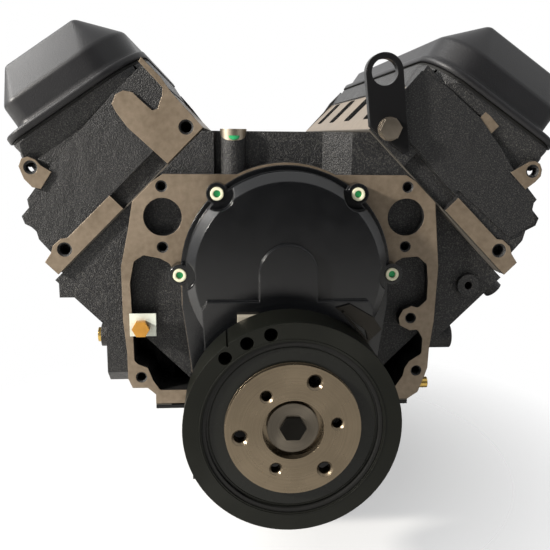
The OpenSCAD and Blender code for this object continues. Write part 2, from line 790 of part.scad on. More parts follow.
module on_lifters() {
    for (side = SIDES, i = BANK, intake = [true, false])
        bank(side) translate([lifter_u, valve_y(side, i, intake), lifter_foot]) children();
}

module valve_lifters() {
    color("#8f8b83") on_lifters() difference() {
        cylinder(h = lifter_len, r = lifter_d / 2);
        translate([0, 0, lifter_len - lifter_cup]) cylinder(h = lifter_cup + over, r = 6);
        translate([0, 0, lifter_len - 16]) difference() {
            cylinder(h = 5, r = lifter_d);
            cylinder(h = 5, r = lifter_d / 2 - 1);
        }
    }
}

module lifter_retainer() {
    color("#8d8a80") at_front() difference() {
        union() {
            along_y(70, block_len - 150) translate([0, cam_z + cam_bore_r + 6])
                polygon([[-11, 0], [11, 0], [11, 2], [-11, 2]]);
            for (y = [110:(block_len - 230) / 3:block_len - 110])
                along_y(y - 8, 16) translate([0, cam_z + cam_bore_r + 8])
                    polygon(both([[11, -1], [40, 30], [38, 32], [11, 2]]));
        }
        for (y = [130:(block_len - 260) / 2:block_len - 120])
            translate([0, y, cam_z]) cylinder(h = 60, r = small_bolt_d / 2 + bolt_gap);
    }
}

function push_lean() = atan((push_u - lifter_u) / (head_base + rocker_w - lifter_top));

module pushrods() {
    len = (head_base + rocker_w - lifter_top + lifter_cup) / cos(push_lean());
    color("#9a968e") for (side = SIDES, i = BANK, intake = [true, false])
        bank(side) translate([lifter_u, valve_y(side, i, intake), lifter_top - lifter_cup])
            rotate([0, push_lean(), 0]) translate([0, 0, 0.3]) cylinder(h = len - 1.2, r = pushrod_d / 2);
}

module head_gasket(side) {
    on_head(side) translate([0, 0, -head_gasket_t]) linear_extrude(head_gasket_t) difference() {
        translate([intake_face, 4]) square([exhaust_face - intake_face, head_len - 8]);
        for (i = BANK) translate([0, bore_y(side, i) - head_front(side)]) circle(bore / 2 + 1);
        for (i = MAINS, u = head_bolt_u)
            translate([u, head_bolt_y(side, i) - head_front(side)]) circle(head_bolt_d / 2 + bolt_gap);
        for (i = BANK) translate([(push_u + lifter_u) / 2 - 14, bore_y(side, i) - head_front(side) - 35])
            square([28, 72]);
    }
}

module left_head_gasket() {
    color("#6f6a62") head_gasket(-1);
}

module right_head_gasket() {
    color("#6f6a62") head_gasket(1);
}

module lower_head_outline() {
    polygon([
        [intake_face, 0], [75, 0], [64, 20], [62.5, 38], [57, 47], [60.5, 58], [57, 65.5], [45.5, 66.2], [40.5, 73],
        [3, 78], [-43, 82], [-98, 84], [rail_u + 2, 83], [intake_face, 60]
    ]);
}

module rocker_box_outline() {
    polygon([
        [rail_u, 62], [20, 62], [41, 66], [40.5, 76], [38, 86], [33, 94.5], [11.5, 108],
        [rail_u + rail_a * cos(rail_tilt), rail_v + rail_a * sin(rail_tilt)], [rail_u, rail_v]
    ]);
}

module strip_pad() {
    polygon([[-20, 0], [-20, 18.5], [41, 19], [46, 23], [57, 23.8], [64, 20], [75, 18], [75, 0]]);
}

module hook_pad() {
    polygon([
        [intake_face, 0], [-135.7, 45], [rail_u + 2, 62], [rail_u + 2, 88], [-134, 87], [-133, 54],
        [-127, 49], [-121, 46.5], [-115, 43.5], [-110, 46], [-109, 63], [-109, 71], [-103.8, 78.6],
        [-96, 81.2], [-86.6, 77.6], [-84, 70], [-81.2, 52], [-83.5, 0]
    ]);
}

module ear_pad() {
    polygon([
        [3, 74], [5.8, 85.7], [5.1, 92.8], [8.1, 99.9], [13.9, 103.1], [21.4, 99.9],
        [27, 88.1], [27.4, 76.9], [22.8, 70]
    ]);
}

module plain_face() {
    polygon([
        [intake_face, 20], [-137, 45], [rail_u + 2, 75], [-110, 83], [-64, 87.4], [-25, 83], [-5, 79], [40, 76], [41, 68],
        [57, 60], [50, 30], [-24, 24], [-28, 18], [-81.6, 20]
    ]);
}

module plain_ear() {
    polygon([
        [-1, 74], [2.4, 87], [4.4, 95], [8.1, 99.6], [14, 101.6], [20, 99.2], [24.2, 94], [24.6, 86], [23, 74]
    ]);
}

// A head's two ends differ: one has the hooked pad, the other a plain face with a small nub
module head_end(hooked) {
    along_y(0, 5) strip_pad();
    if (hooked) {
        along_y(0, 5) hook_pad();
        along_y(0, 12) ear_pad();
    } else {
        along_y(1.2, 5) plain_face();
        along_y(0, 12) plain_ear();
        along_y(2, 10) translate([-64, 84]) square([20, 12]);
    }
}

// The rocker box's end wall leans back under the overhanging rail
module rail_undercut() {
    translate([-over, 0, 0]) rotate([90, 0, 90]) linear_extrude(rail_a + 20)
        polygon([[-3, -2], [0, -2], [rail_back, -rail_fall], [rail_back, -70], [-3, -70]]);
}

module on_rail_plane() {
    translate([rail_u, 0, rail_v]) rotate([0, -rail_tilt, 0]) children();
}

// The bosses in a rocker box that a valve cover's bolts screw into
module cover_bosses(side, r, up = 0) {
    on_rail_plane() cover_tabs(side)
        translate([0, 0, up > 0 ? boss_h - 18 : -60])
            cylinder(h = (up > 0 ? 18 : boss_h + 60 - up) + up, r = r);
}

module port(u0, w, h, y, l) {
    translate([u0, y, w]) rotate([0, 90, 0]) linear_extrude(port_depth + over) rounded_rect(h, l, 8);
}

module on_valve(y) {
    translate([valve_foot[0], y, valve_foot[1]]) rotate([0, -valve_lean, 0]) children();
}

module cylinder_head(side) {
    first = bore_y(side, 0) - head_front(side);
    on_head(side) difference() {
        union() {
            along_y(3, head_len - 6) lower_head_outline();
            difference() {
                intersection() {
                    along_y(-1, head_len + 2) rocker_box_outline();
                    on_rail_plane() translate([0, 0, -90]) rail_plate(0, 92);
                }
                on_rail_plane() for (flip = [0, 1])
                    translate([0, flip * head_len, 0]) mirror([0, flip, 0]) rail_undercut();
            }
            for (flip = [0, 1]) translate([0, flip * head_len, 0]) mirror([0, flip, 0])
                head_end((flip == 0) == (side < 0));
            for (i = BANK)
                translate([50, first + i * bore_pitch - 34, 16]) cube([exhaust_face - 50, 68, 44]);
        }
        for (flip = [0, 1]) translate([0, flip * head_len, 0]) mirror([0, flip, 0])
            translate([-83, 2, -over]) cube([63, 7, 19]);
        difference() {
            translate([-128, rail_back + 4, floor_w]) cube([124, head_len - 2 * rail_back - 8, 90]);
            cover_bosses(side, 9);
        }
        cover_bosses(side, cover_bolt_r + seat_gap, over);
        for (i = BANK) {
            y = first + i * bore_pitch;
            translate([0, y, -over]) cylinder(h = 19, r1 = bore / 2 - 3, r2 = bore / 2 - 12);
            port(intake_face - 8, 38, intake_h, y, intake_w);
            port(exhaust_face - port_depth, 37, exhaust_h, y, exhaust_w);
            translate([60, y + 26, 9]) rotate([0, 90, 0]) cylinder(h = 24, r = 6);
            for (intake = [true, false]) {
                vy = valve_y(side, i, intake) - head_front(side);
                on_valve(vy) {
                    cylinder(h = 8, r = (intake ? intake_d : exhaust_d) / 2 + move_gap);
                    translate([0, 0, 8 - over]) cylinder(h = 9, r1 = 10 + over, r2 = stem_d / 2 + run_gap);
                    cylinder(h = 70, r = stem_d / 2 + run_gap);
                    translate([0, 0, 58]) cylinder(h = 50, r = spring_d / 2 + 1);
                }
                push_hole(vy);
                translate([pivot_u, vy, floor_w - 20]) cylinder(h = 30, r = 5 + seat_gap);
            }
        }
        for (i = MAINS, n = [0, 1])
            translate([head_bolt_u[n], head_bolt_y(side, i) - head_front(side), -over]) {
                cylinder(h = 90, r = head_bolt_d / 2 + bolt_gap);
                translate([0, 0, head_bolt_seat[n] + over]) cylinder(h = 60, r = head_bolt_d + 1);
            }
        for (flip = [0, 1]) translate([0, flip * head_len, 0]) mirror([0, flip, 0]) {
            drilled_y(5.5 - flip / 2, 0, 16, 51.6, 12.9);
            drilled_y(5 - flip / 2, 0, 24, 14.2, 91.2);
            drilled_y(5.5 - flip / 2, 0, 26, -122.2, 11.9);
        }
    }
}

module push_hole(y) {
    w0 = head_base - lifter_top;
    translate([lifter_u + w0 * tan(push_lean()), y, 0]) rotate([0, push_lean(), 0])
        translate([0, 0, -20]) cylinder(h = 110, r = 8);
}

module left_cylinder_head() {
    color("#2b2b2c") cylinder_head(-1);
}

module right_cylinder_head() {
    color("#2b2b2c") cylinder_head(1);
}

module head_bolts() {
    color("#3a3a3c") for (side = SIDES) on_head(side) for (i = MAINS, n = [0, 1])
        translate([head_bolt_u[n], head_bolt_y(side, i) - head_front(side), 0]) {
            translate([0, 0, -head_bolt_in])
                cylinder(h = head_bolt_seat[n] + head_bolt_in, r = head_bolt_d / 2);
            translate([0, 0, head_bolt_seat[n]]) cylinder(h = 2, r = head_bolt_d);
            translate([0, 0, head_bolt_seat[n] + 2]) cylinder(h = 8, r = head_bolt_d * 0.85, $fn = 6);
        }
}

module on_valves(intake) {
    for (side = SIDES, i = BANK)
        on_head(side) on_valve(valve_y(side, i, intake) - head_front(side)) children();
}

module valve_shape(d) {
    cylinder(h = 2, r = d / 2);
    translate([0, 0, 2]) cylinder(h = 5, r1 = d / 2, r2 = 10);
    translate([0, 0, 7]) cylinder(h = 8, r1 = 10, r2 = stem_d / 2);
    cylinder(h = valve_len, r = stem_d / 2);
}

module intake_valves() {
    color("#a9a49a") on_valves(true) valve_shape(intake_d);
}

module exhaust_valves() {
    color("#8c8275") on_valves(false) valve_shape(exhaust_d);
}

// Coils are drawn as a bellows of revolution, one wave for each turn
module valve_springs() {
    turns = 6;
    wire = 4.2;
    height = valve_len - 14 - 58;
    step = height / turns;
    turn = [[0, 0.12], [0, 0.42], [-1.6, 0.5], [-1.6, 0.62], [0, 0.7], [0, 0.88]];
    outside = [for (k = [0:turns - 1], p = turn)
        [spring_d / 2 + p[0], (k + p[1]) * step]];
    color("#77736b") for (intake = [true, false]) on_valves(intake) translate([0, 0, 58.2])
        rotate_extrude() polygon(concat(
            [[spring_d / 2 - wire, 0], [spring_d / 2, 0]], outside,
            [[spring_d / 2, height], [spring_d / 2 - wire, height]]
        ));
}

module spring_retainers() {
    color("#5b5851") for (intake = [true, false]) on_valves(intake)
        translate([0, 0, valve_len - 13.6]) difference() {
        cylinder(h = 5, r1 = spring_d / 2 - 0.5, r2 = 11);
        translate([0, 0, -over]) cylinder(h = 9, r = stem_d / 2 + seat_gap);
    }
}

module on_studs() {
    for (side = SIDES, i = BANK, intake = [true, false])
        on_head(side) translate([0, valve_y(side, i, intake) - head_front(side), 0]) children();
}

module rocker_studs() {
    color("#3f3d3a") on_studs() translate([pivot_u, 0, 0]) {
        translate([0, 0, floor_w - 18]) cylinder(h = 92, r = 5);
        translate([0, 0, floor_w]) cylinder(h = 6, r = 8.5, $fn = 6);
        translate([0, 0, rocker_w + 14.4]) cylinder(h = 9, r = 8, $fn = 6);
    }
}

module rocker_arms() {
    color("#8b857a") on_studs() difference() {
        along_y(-9, 18) polygon([
            [-27, 126.5], [-40, 126.5], [-56, rocker_w + 1], [-90, rocker_w], [-92, rocker_w + 8], [-80, 134],
            [-73, 136], [-59, 136], [-48, 134.5], [-27, 133]
        ]);
        translate([pivot_u, 0, 100]) cylinder(h = 50, r = 5 + move_gap);
    }
}

// The rail's plan and a valve cover's: a wide curve at the inner corners, a small one at the outer
module cover_plan(x0, x1, y0, y1, grow) {
    ri = rail_corner[0] + grow;
    ro = rail_corner[1] + grow;
    polygon(concat(
        arc([x0 + rail_corner[0], y0 + rail_corner[0]], ri, 180, 12),
        arc([x1 - rail_corner[1], y0 + rail_corner[1]], ro, 270, 6),
        arc([x1 - rail_corner[1], y1 - rail_corner[1]], ro, 0, 6),
        arc([x0 + rail_corner[0], y1 - rail_corner[0]], ri, 90, 12)
    ));
}

// The points of a quarter circle about c from the angle a0
function arc(c, r, a0, n) = [for (k = [0:n]) c + r * [cos(a0 + 90 * k / n), sin(a0 + 90 * k / n)]];

module rail_plate(grow, t) {
    linear_extrude(t) cover_plan(0, rail_a + 2, -2, head_len + 2, grow);
}

module valve_cover_gaskets() {
    color("#33312e") for (side = SIDES) on_rail(side) difference() {
        rail_plate(-1, cover_gasket_t);
        translate([0, 0, -over]) rail_plate(-13, cover_gasket_t + 2);
    }
}

// A valve cover's shell, inset by a wall: an upright band and a roof that draws in to its ridge
module cover_shell(inset) {
    base = inset > 0 ? -over : cover_gasket_t;
    apex = [(cover_ridge[0] - cover_side[0] * roof_scale[0]) / (1 - roof_scale[0]), head_len / 2];
    translate([0, 0, base]) linear_extrude(cover_band - inset / 2 - base) cover_foot(inset);
    translate([apex[0], apex[1], cover_band - inset / 2 - seat_gap])
        linear_extrude(cover_h - cover_band - inset / 2 + seat_gap, scale = roof_scale, slices = 1)
            translate(-apex) cover_foot(inset);
}

module cover_foot(inset) {
    cover_plan(cover_side[0], cover_side[1], cover_end, head_len - cover_end, -inset);
}

// The places of a valve cover's bolts, over the middle of each cylinder
module cover_tabs(side) {
    for (i = BANK) translate([cover_mid, bore_y(side, i) - head_front(side), 0]) children();
}

module valve_cover(side) {
    on_rail(side) difference() {
        union() {
            translate([0, 0, cover_gasket_t]) rail_plate(1.5, cover_flange_t);
            translate([0, 0, cover_gasket_t]) rail_plate(-1.5, cover_flange_t + 3);
            cover_shell(0);
        }
        cover_shell(cover_wall);
        cover_tabs(side) translate([0, 0, cover_h - 10]) cylinder(h = 20, r = cover_bolt_r + bolt_gap);
        if (side > 0) {
            translate([83, 150, 50]) cylinder(h = 60, r = filler_r);
            translate([83, 380, 50]) cylinder(h = 60, r = 10);
        }
    }
}

module left_valve_cover() {
    color("#39393a") valve_cover(-1);
}

module right_valve_cover() {
    color("#39393a") valve_cover(1);
}

module valve_cover_bolts() {
    color("#2c2c2d") for (side = SIDES) on_rail(side) cover_tabs(side) {
        translate([0, 0, boss_h - 18]) cylinder(h = cover_h - boss_h + 18, r = cover_bolt_r);
        translate([0, 0, cover_h]) cylinder(h = 4, r = 11);
        translate([0, 0, cover_h + 4]) cylinder(h = 6, r = 6.5, $fn = 6);
    }
}

module oil_filler_cap() {
    color("#1a1a1b") on_rail(1) translate([83, 150, cover_h]) {
        translate([0, 0, 0.3]) cylinder(h = 12, r = filler_cap_r);
        for (k = [0:7]) rotate(45 * k) translate([filler_cap_r - 1, -4, 0.3]) cube([4, 8, 10]);
        translate([0, 0, 12]) translate([-filler_cap_r + 6, -4, 0]) cube([2 * filler_cap_r - 12, 8, 6]);
        translate([0, 0, -14]) cylinder(h = 15, r = filler_r - 0.4);
    }
}

module breather_cap() {
    color("#1a1a1b") on_rail(1) translate([83, 380, cover_h]) {
        translate([0, 0, 0.3]) cylinder(h = 6, r = 17);
        translate([0, 0, -10]) cylinder(h = 24, r = 9.7);
    }
}

module tooth_ring(teeth, y0, y1, z) {
    r = sprocket_r(teeth);
    along_y(y0, y1 - y0) translate([0, z]) difference() {
        circle(r + 3);
        for (k = [0:teeth - 1]) rotate(360 * k / teeth) translate([0, r]) {
            circle(roller_r + 0.3, $fn = 24);
            polygon([[-roller_r - 0.3, 0], [-5.3, 5], [5.3, 5], [roller_r + 0.3, 0]]);
        }
    }
}

module crank_sprocket() {
    color("#57534d") at_front() difference() {
        union() {
            tooth_ring(crank_teeth, -sprocket_y - tooth_half, -sprocket_y + tooth_half, 0);
            rod_y_axis(28, -sprocket_y - 9, -5);
        }
        rod_y_axis(nose_r + seat_gap, -60, 10);
    }
}

module cam_sprocket() {
    color("#57534d") at_front() difference() {
        union() {
            tooth_ring(2 * crank_teeth, -sprocket_y - tooth_half, -sprocket_y + tooth_half, cam_z);
            rod_y_axis(24, -sprocket_y - 3, -8, 0, cam_z);
        }
        for (k = [0:5]) rod_y_axis(11, -40, 0, 45 * sin(60 * k), cam_z + 45 * cos(60 * k));
        for (k = [0:2]) rod_y_axis(4.2, -40, 0, 15 * sin(120 * k), cam_z + 15 * cos(120 * k));
    }
}

module cam_sprocket_bolts() {
    color("#3a3a3c") at_front() for (k = [0:2]) {
        rod_y_axis(4, -sprocket_y - 3, 3, 15 * sin(120 * k), cam_z + 15 * cos(120 * k));
        hex_y(6.5, -sprocket_y - 8, -sprocket_y - 3, 15 * sin(120 * k), cam_z + 15 * cos(120 * k));
    }
}

// The chain's pins: in the wrapped notches of both sprockets and evenly along the two straight runs
function chain_lean() = asin((sprocket_r(2 * crank_teeth) - sprocket_r(crank_teeth)) / cam_z);
function arc_pins(teeth, z, from, to) = [
    for (k = [2 * teeth:-1:-teeth])
        let (a = 360 * k / teeth)
            if (a >= from - 180 / teeth && a <= to + 180 / teeth)
                [sprocket_r(teeth) * sin(a), z + sprocket_r(teeth) * cos(a)]
];
function run_pins(p, q) =
    let (n = round(norm(q - p) / chain_pitch)) [for (j = [1:n - 1]) p + (q - p) * j / n];
function chain_pins() =
    let (
        low = arc_pins(crank_teeth, 0, 90 + chain_lean(), 270 - chain_lean()),
        high = arc_pins(2 * crank_teeth, cam_z, -90 - chain_lean(), 90 + chain_lean())
    ) concat(low, run_pins(low[len(low) - 1], high[0]), high, run_pins(high[len(high) - 1], low[0]));

module chain_link(p, q, r) {
    translate(p) rotate(atan2(q[1] - p[1], q[0] - p[0])) {
        circle(r);
        translate([norm(q - p), 0]) circle(r);
        translate([0, 0.8 - r]) square([norm(q - p), 2 * r - 1.6]);
    }
}

// Links lie by turns in the inner and the outer layer on both sides of the teeth
module timing_chain() {
    pins = chain_pins();
    plate = (chain_w / 2 - tooth_half - 0.8) / 2;
    color("#4a4741") at_front() translate([0, -sprocket_y, 0]) {
        for (p = pins) rod_y_axis(roller_r, -chain_w / 2, chain_w / 2, p[0], p[1], $fn = 24);
        for (layer = [0, 1], y = [tooth_half + 0.3 + layer * plate, -tooth_half - 0.3 - (1 + layer) * plate])
            along_y(y, plate) for (k = [layer:2:len(pins) - 1])
                chain_link(pins[k], pins[(k + 1) % len(pins)], link_r - 0.3 * layer, $fn = 24);
    }
}

module timing_cover_gasket() {
    color("#5a564e") at_front() along_y(-timing_gasket_t, timing_gasket_t) difference() {
        timing_outline(-0.5);
        timing_outline(-12);
        translate([-80, -rail_drop - over]) square([160, 20]);
        for (h = cover_bolts) translate(h) circle(small_bolt_d / 2 + bolt_gap);
    }
}

module dome_shape() {
    translate([0, -cover_back, cam_z]) rotate([90, 0, 0]) {
        cylinder(h = dome_y - dome_fall - cover_back, r = dome_r + dome_fall);
        translate([0, 0, dome_y - dome_fall - cover_back])
            cylinder(h = dome_fall, r1 = dome_r + dome_fall, r2 = dome_r);
    }
}

module snout_outline(inset) {
    polygon(both([
        [79 - inset, 106 - inset],
        [84 - inset, 98 - inset],
        [78 - inset, -rail_drop + inset]
    ]));
}

module arch_outline() {
    translate([0, cam_z + 2.4]) circle(arch_r);
    translate([-arch_r, 100]) square([2 * arch_r, cam_z - 97.6]);
}

module timing_cover() {
    color("#1c1d1f") at_front() difference() {
        union() {
            along_y(-cover_back - timing_flange_t, timing_flange_t) timing_outline(-0.5);
            for (h = cover_bolts) rod_y_axis(10.5, -bolt_y, -cover_back, h[0], h[1]);
            dome_shape();
            along_y(-snout_y, snout_y - cover_back) snout_outline(0);
            along_y(-snout_y, 14) arch_outline();
            rod_y_axis(drum_r, -snout_y, 7);
            rod_y_axis(seal_r + 6, -snout_y - 6, -snout_y + 6);
        }
        difference() {
            union() {
                rod_y_axis(dome_r - 5, -dome_y + timing_wall, 0, 0, cam_z);
                along_y(-snout_y + timing_wall, snout_y - timing_wall + over) snout_outline(timing_wall);
            }
            translate([-200, -60, -80]) cube([400, 80, 80 - rail_drop + timing_wall]);
        }
        translate([-200, -cover_back - 0.1, -rail_drop]) cube([400, 20, 300]);
        rod_y_axis(drum_r - timing_wall - 2, -snout_y + timing_wall + 2, 8);
        rod_y_axis(seal_r + seat_gap, -snout_y - 7, -snout_y + 4);
        rod_y_axis(sleeve_r + 2, -60, 0);
        for (h = cover_bolts) rod_y_axis(small_bolt_d / 2 + bolt_gap, -60, 10, h[0], h[1]);
        for (h = cover_bolts) rod_y_axis(6.8, -60, -bolt_y + 4, h[0], h[1]);
        for (h = cover_bolts) rod_y_axis(scallop_r, -60, -bolt_y, h[0], h[1]);
    }
}

module timing_cover_bolts() {
    color("#e6e2c6") at_front() for (h = cover_bolts) difference() {
        union() {
            rod_y_axis(6.5, -bolt_y - 1.5, -bolt_y + 3.9, h[0], h[1]);
            rod_y_axis(small_bolt_d / 2, -bolt_y, 18, h[0], h[1]);
        }
        rod_y_axis(3.6, -bolt_y - 3, -bolt_y + 2, h[0], h[1]);
    }
}

module front_crank_seal() {
    color("#2a2422") at_front()
        ring_y(seal_r, sleeve_r + run_gap, -snout_y - 5.5, -snout_y + 3.8);
}

module timing_pointer() {
    color("#2e2e2f") at_front() {
        along_y(-snout_y - 3, 2.7)
            polygon([[46, 100], [60, 104], [84, 90], [92.4, 78], [79.5, 65.6], [76.4, 77]]);
        along_y(-snout_y - 7, 5) polygon([[52, 96], [53.8, 97.4], [79.6, 66.8], [77.8, 65.4]]);
    }
}

module crank_sensor() {
    color("#c9b79a") at_front() {
        translate([-50, -snout_y - 8, 76]) cube([21, 7.7, 18]);
        translate([-46, -snout_y - 0.3, 80]) cube([12, 0.2, 10]);
    }
}

module balancer_hub() {
    shell_r = ring_in_r - rubber_t - seat_gap;
    color("#827664") at_front() difference() {
        union() {
            rod_y_axis(hub_face_r, -hub_y, -hub_y + 13);
            rod_y_axis(shell_r, -balancer_y + 4, -balancer_y + 12);
            ring_y(shell_r, shell_r - 7, -balancer_y + 4, -balancer_y + balancer_w - 2);
            rod_y_axis(sleeve_r, -hub_y + 10, -sprocket_y - 10);
        }
        rod_y_axis(nose_r + seat_gap, -hub_y - over, 0);
        rod_y_axis(hub_recess_r, -hub_y - over, -hub_y + recess_d - washer_t);
        for (k = [0:2]) {
            drilled_y(pulley_hole_big / 2, -hub_y, 20,
                pulley_pcd_big / 2 * cos(67.4 + 120 * k), pulley_pcd_big / 2 * sin(67.4 + 120 * k));
            drilled_y(pulley_hole_small / 2, -hub_y, 20,
                pulley_pcd_small / 2 * cos(7.4 + 120 * k), pulley_pcd_small / 2 * sin(7.4 + 120 * k));
        }
    }
}

module balancer_rubber() {
    color("#151515") at_front()
        ring_y(
            ring_in_r - seat_gap, ring_in_r - rubber_t, -balancer_y + 1.2, -balancer_y + balancer_w - 1.2
        );
}

module balancer_ring() {
    color("#2d2d2a") at_front() difference() {
        ring_y(balancer_d / 2, ring_in_r, -balancer_y, -balancer_y + balancer_w);
        for (a = [103.2, 117.3, 131.9])
            rod_y_axis(6.2, -balancer_y - over, -balancer_y + 22, 93 * cos(a), 93 * sin(a));
        rotate([0, -126.5, 0]) translate([balancer_d / 2 - 2, -balancer_y - over, -1])
            cube([4, balancer_w + 2, 2]);
    }
}

module balancer_washer() {
    color("#8a8276") at_front()
        ring_y(24, 9.4, -hub_y + recess_d - 2 * washer_t, -hub_y + recess_d - washer_t);
}

module balancer_bolt() {
    color("#3a3937") at_front() {
        hex_y(12.5, -hub_y + 2, -hub_y + recess_d - 2 * washer_t);
        rod_y_axis(8.7, -hub_y + recess_d - 2 * washer_t, -hub_y + 56);
    }
}

module pan_side(inset) {
    y0 = 3 + inset;
    y1 = block_len - 3 - inset;
    translate([-pan_half + inset, 0, 0]) rotate([90, 0, 90]) linear_extrude(2 * pan_half - 2 * inset)
        offset(10 - inset) offset(-10 + inset) polygon([
            [y0, 30], [y0, -pan_front_z + inset], [sump_y - 30 + inset, -pan_front_z + inset],
            [sump_y + inset, -sump_z + inset], [y1, -sump_z + inset], [y1, 30]
        ]);
}

module pan_cross(inset) {
    along_y(0, block_len) offset(22 - inset) offset(-22 + inset)
        polygon(both([[pan_half - inset, -sump_z + inset], [pan_half - inset, 40]]));
}

module oil_pan() {
    color("#232324") at_front() difference() {
        union() {
            translate([-rail_half, 1, pan_top - pan_flange_t])
                cube([2 * rail_half, block_len - 2, pan_flange_t]);
            intersection() {
                pan_side(0);
                pan_cross(0);
            }
        }
        intersection() {
            pan_side(pan_wall);
            pan_cross(pan_wall);
        }
        translate([-200, -10, pan_top]) cube([400, block_len + 20, 100]);
        rod_y_axis(drum_r + 0.3, 0, 12);
        rod_y_axis(seal_bore_r + 1, block_len - 12, block_len + 3);
        for (x = [-1, 1], y = pan_bolt_ys())
            translate([x * (rail_half - rail_w / 2), y, -40])
                cylinder(h = 60, r = small_bolt_d / 2 + bolt_gap);
        translate([60, block_len - 30, -sump_z + 22]) rotate([-90, 0, 0]) cylinder(h = 40, r = 7);
    }
}

module oil_pan_gasket() {
    color("#4b4740") at_front() difference() {
        translate([-rail_half, 1, pan_top]) cube([2 * rail_half, block_len - 2, pan_gasket_t]);
        translate([-rail_half + rail_w, -over, pan_top - over])
            cube([2 * (rail_half - rail_w), block_len + 2, 10]);
        for (x = [-1, 1], y = pan_bolt_ys())
            translate([x * (rail_half - rail_w / 2), y, -40])
                cylinder(h = 60, r = small_bolt_d / 2 + bolt_gap);
    }
}

module oil_pan_bolts() {
    color("#3a3a3c") at_front() for (x = [-1, 1], y = pan_bolt_ys())
        translate([x * (rail_half - rail_w / 2), y, pan_top - pan_flange_t]) {
            cylinder(h = 18, r = small_bolt_d / 2);
            translate([0, 0, -5]) cylinder(h = 5, r = 5.6, $fn = 6);
        }
}

module drain_plug() {
    color("#6a6a68") at_front() translate([60, block_len - 3, -sump_z + 22]) rotate([-90, 0, 0]) {
        translate([0, 0, -6]) cylinder(h = 7, r = 6.7);
        cylinder(h = 7, r = 10, $fn = 6);
    }
}

module oil_pump() {
    color("#5d5d5c") at_front() {
        translate([-30, main_y(4) - 12, -98]) cube([60, 36, 40]);
        translate([0, main_y(4), -150]) cylinder(h = 53, r = 10);
        translate([0, main_y(4), -sump_z + 16]) cylinder(h = 34, r1 = 36, r2 = 18);
    }
}

module on_eye() {
    at_front() translate([bx(-122.2, head_base + 11.9), head_front(1), bz(-122.2, head_base + 11.9)])
        rotate([0, -7, 0]) children();
}

module lifting_eye() {
    color("#161617") on_eye() along_y(-eye_t, eye_t) difference() {
        intersection() {
            offset(eye_w / 2) polygon([[-0.05, -40], [0.05, -40], [0.05, eye_reach], [-0.05, eye_reach]]);
            polygon([[-40, 30], [-40, 90], [40, 90], [40, -14], [eye_w / 2 - 5, -26], [-eye_w / 2 - 4, 8]]);
        }
        translate([0, eye_reach]) circle(eye_hole / 2);
        circle(5.5 + bolt_gap);
    }
}

module lifting_eye_bolt() {
    color("#6e675c") on_eye() {
        rod_y_axis(5.4, -eye_t, 24);
        rod_y_axis(11.5, -eye_t - 1.5, -eye_t);
        hex_y(11, -eye_t - 9, -eye_t - 1.5);
    }
}

module tag_plate() {
    color("#d9ddd2") at_front() difference() {
        translate([-158.5, -2.2, 62]) cube([26.8, 2, 23.6]);
        rod_y_axis(4.6, -5, 5, lug_holes[0][0], lug_holes[0][1]);
    }
}

module tag_bolt() {
    color("#c08a3a") at_front() {
        hex_y(9, -9.2, -2.2, lug_holes[0][0], lug_holes[0][1]);
        rod_y_axis(4, -2.2, 22, lug_holes[0][0], lug_holes[0][1]);
    }
}

module block_plugs() {
    color("#c2a35a") at_front() {
        side_boss(rail_half + 8, rail_half + 26, fitting_y, -1, fitting_r - seat_gap);
        rod_y_axis(cam_bore_r - seat_gap, block_len - 27, block_len - 21, 0, cam_z);
        mirror([1, 0, 0]) side_boss(190, 201, pad_y, pad_z, 8 - seat_gap);
    }
}

cylinder_block();
core_plugs();
main_bearing_caps();
main_cap_bolts();
main_bearings();
cam_bearings();
crankshaft();
rear_main_seal();
rod_bearings();
connecting_rods();
rod_caps();
piston_pins();
pistons();
camshaft();
cam_thrust_plate();
valve_lifters();
lifter_retainer();
pushrods();
left_head_gasket();
right_head_gasket();
left_cylinder_head();
right_cylinder_head();
head_bolts();
intake_valves();
exhaust_valves();
valve_springs();
spring_retainers();
rocker_studs();
rocker_arms();
valve_cover_gaskets();
left_valve_cover();
right_valve_cover();
valve_cover_bolts();
oil_filler_cap();
breather_cap();
crank_sprocket();
cam_sprocket();
cam_sprocket_bolts();
timing_chain();
timing_cover_gasket();
timing_cover();
timing_cover_bolts();
front_crank_seal();
timing_pointer();
crank_sensor();
balancer_hub();
balancer_rubber();
balancer_ring();
balancer_washer();
balancer_bolt();
oil_pump();
oil_pan_gasket();
oil_pan();
oil_pan_bolts();
drain_plug();
lifting_eye();
lifting_eye_bolt();
tag_plate();
tag_bolt();
block_plugs();
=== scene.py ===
"""Finishes and studio for a vee eight long block. Metres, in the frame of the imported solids."""
import math

import bmesh
import bpy
from bpy.props import FloatProperty, FloatVectorProperty, PointerProperty
from mathutils import Matrix, Vector


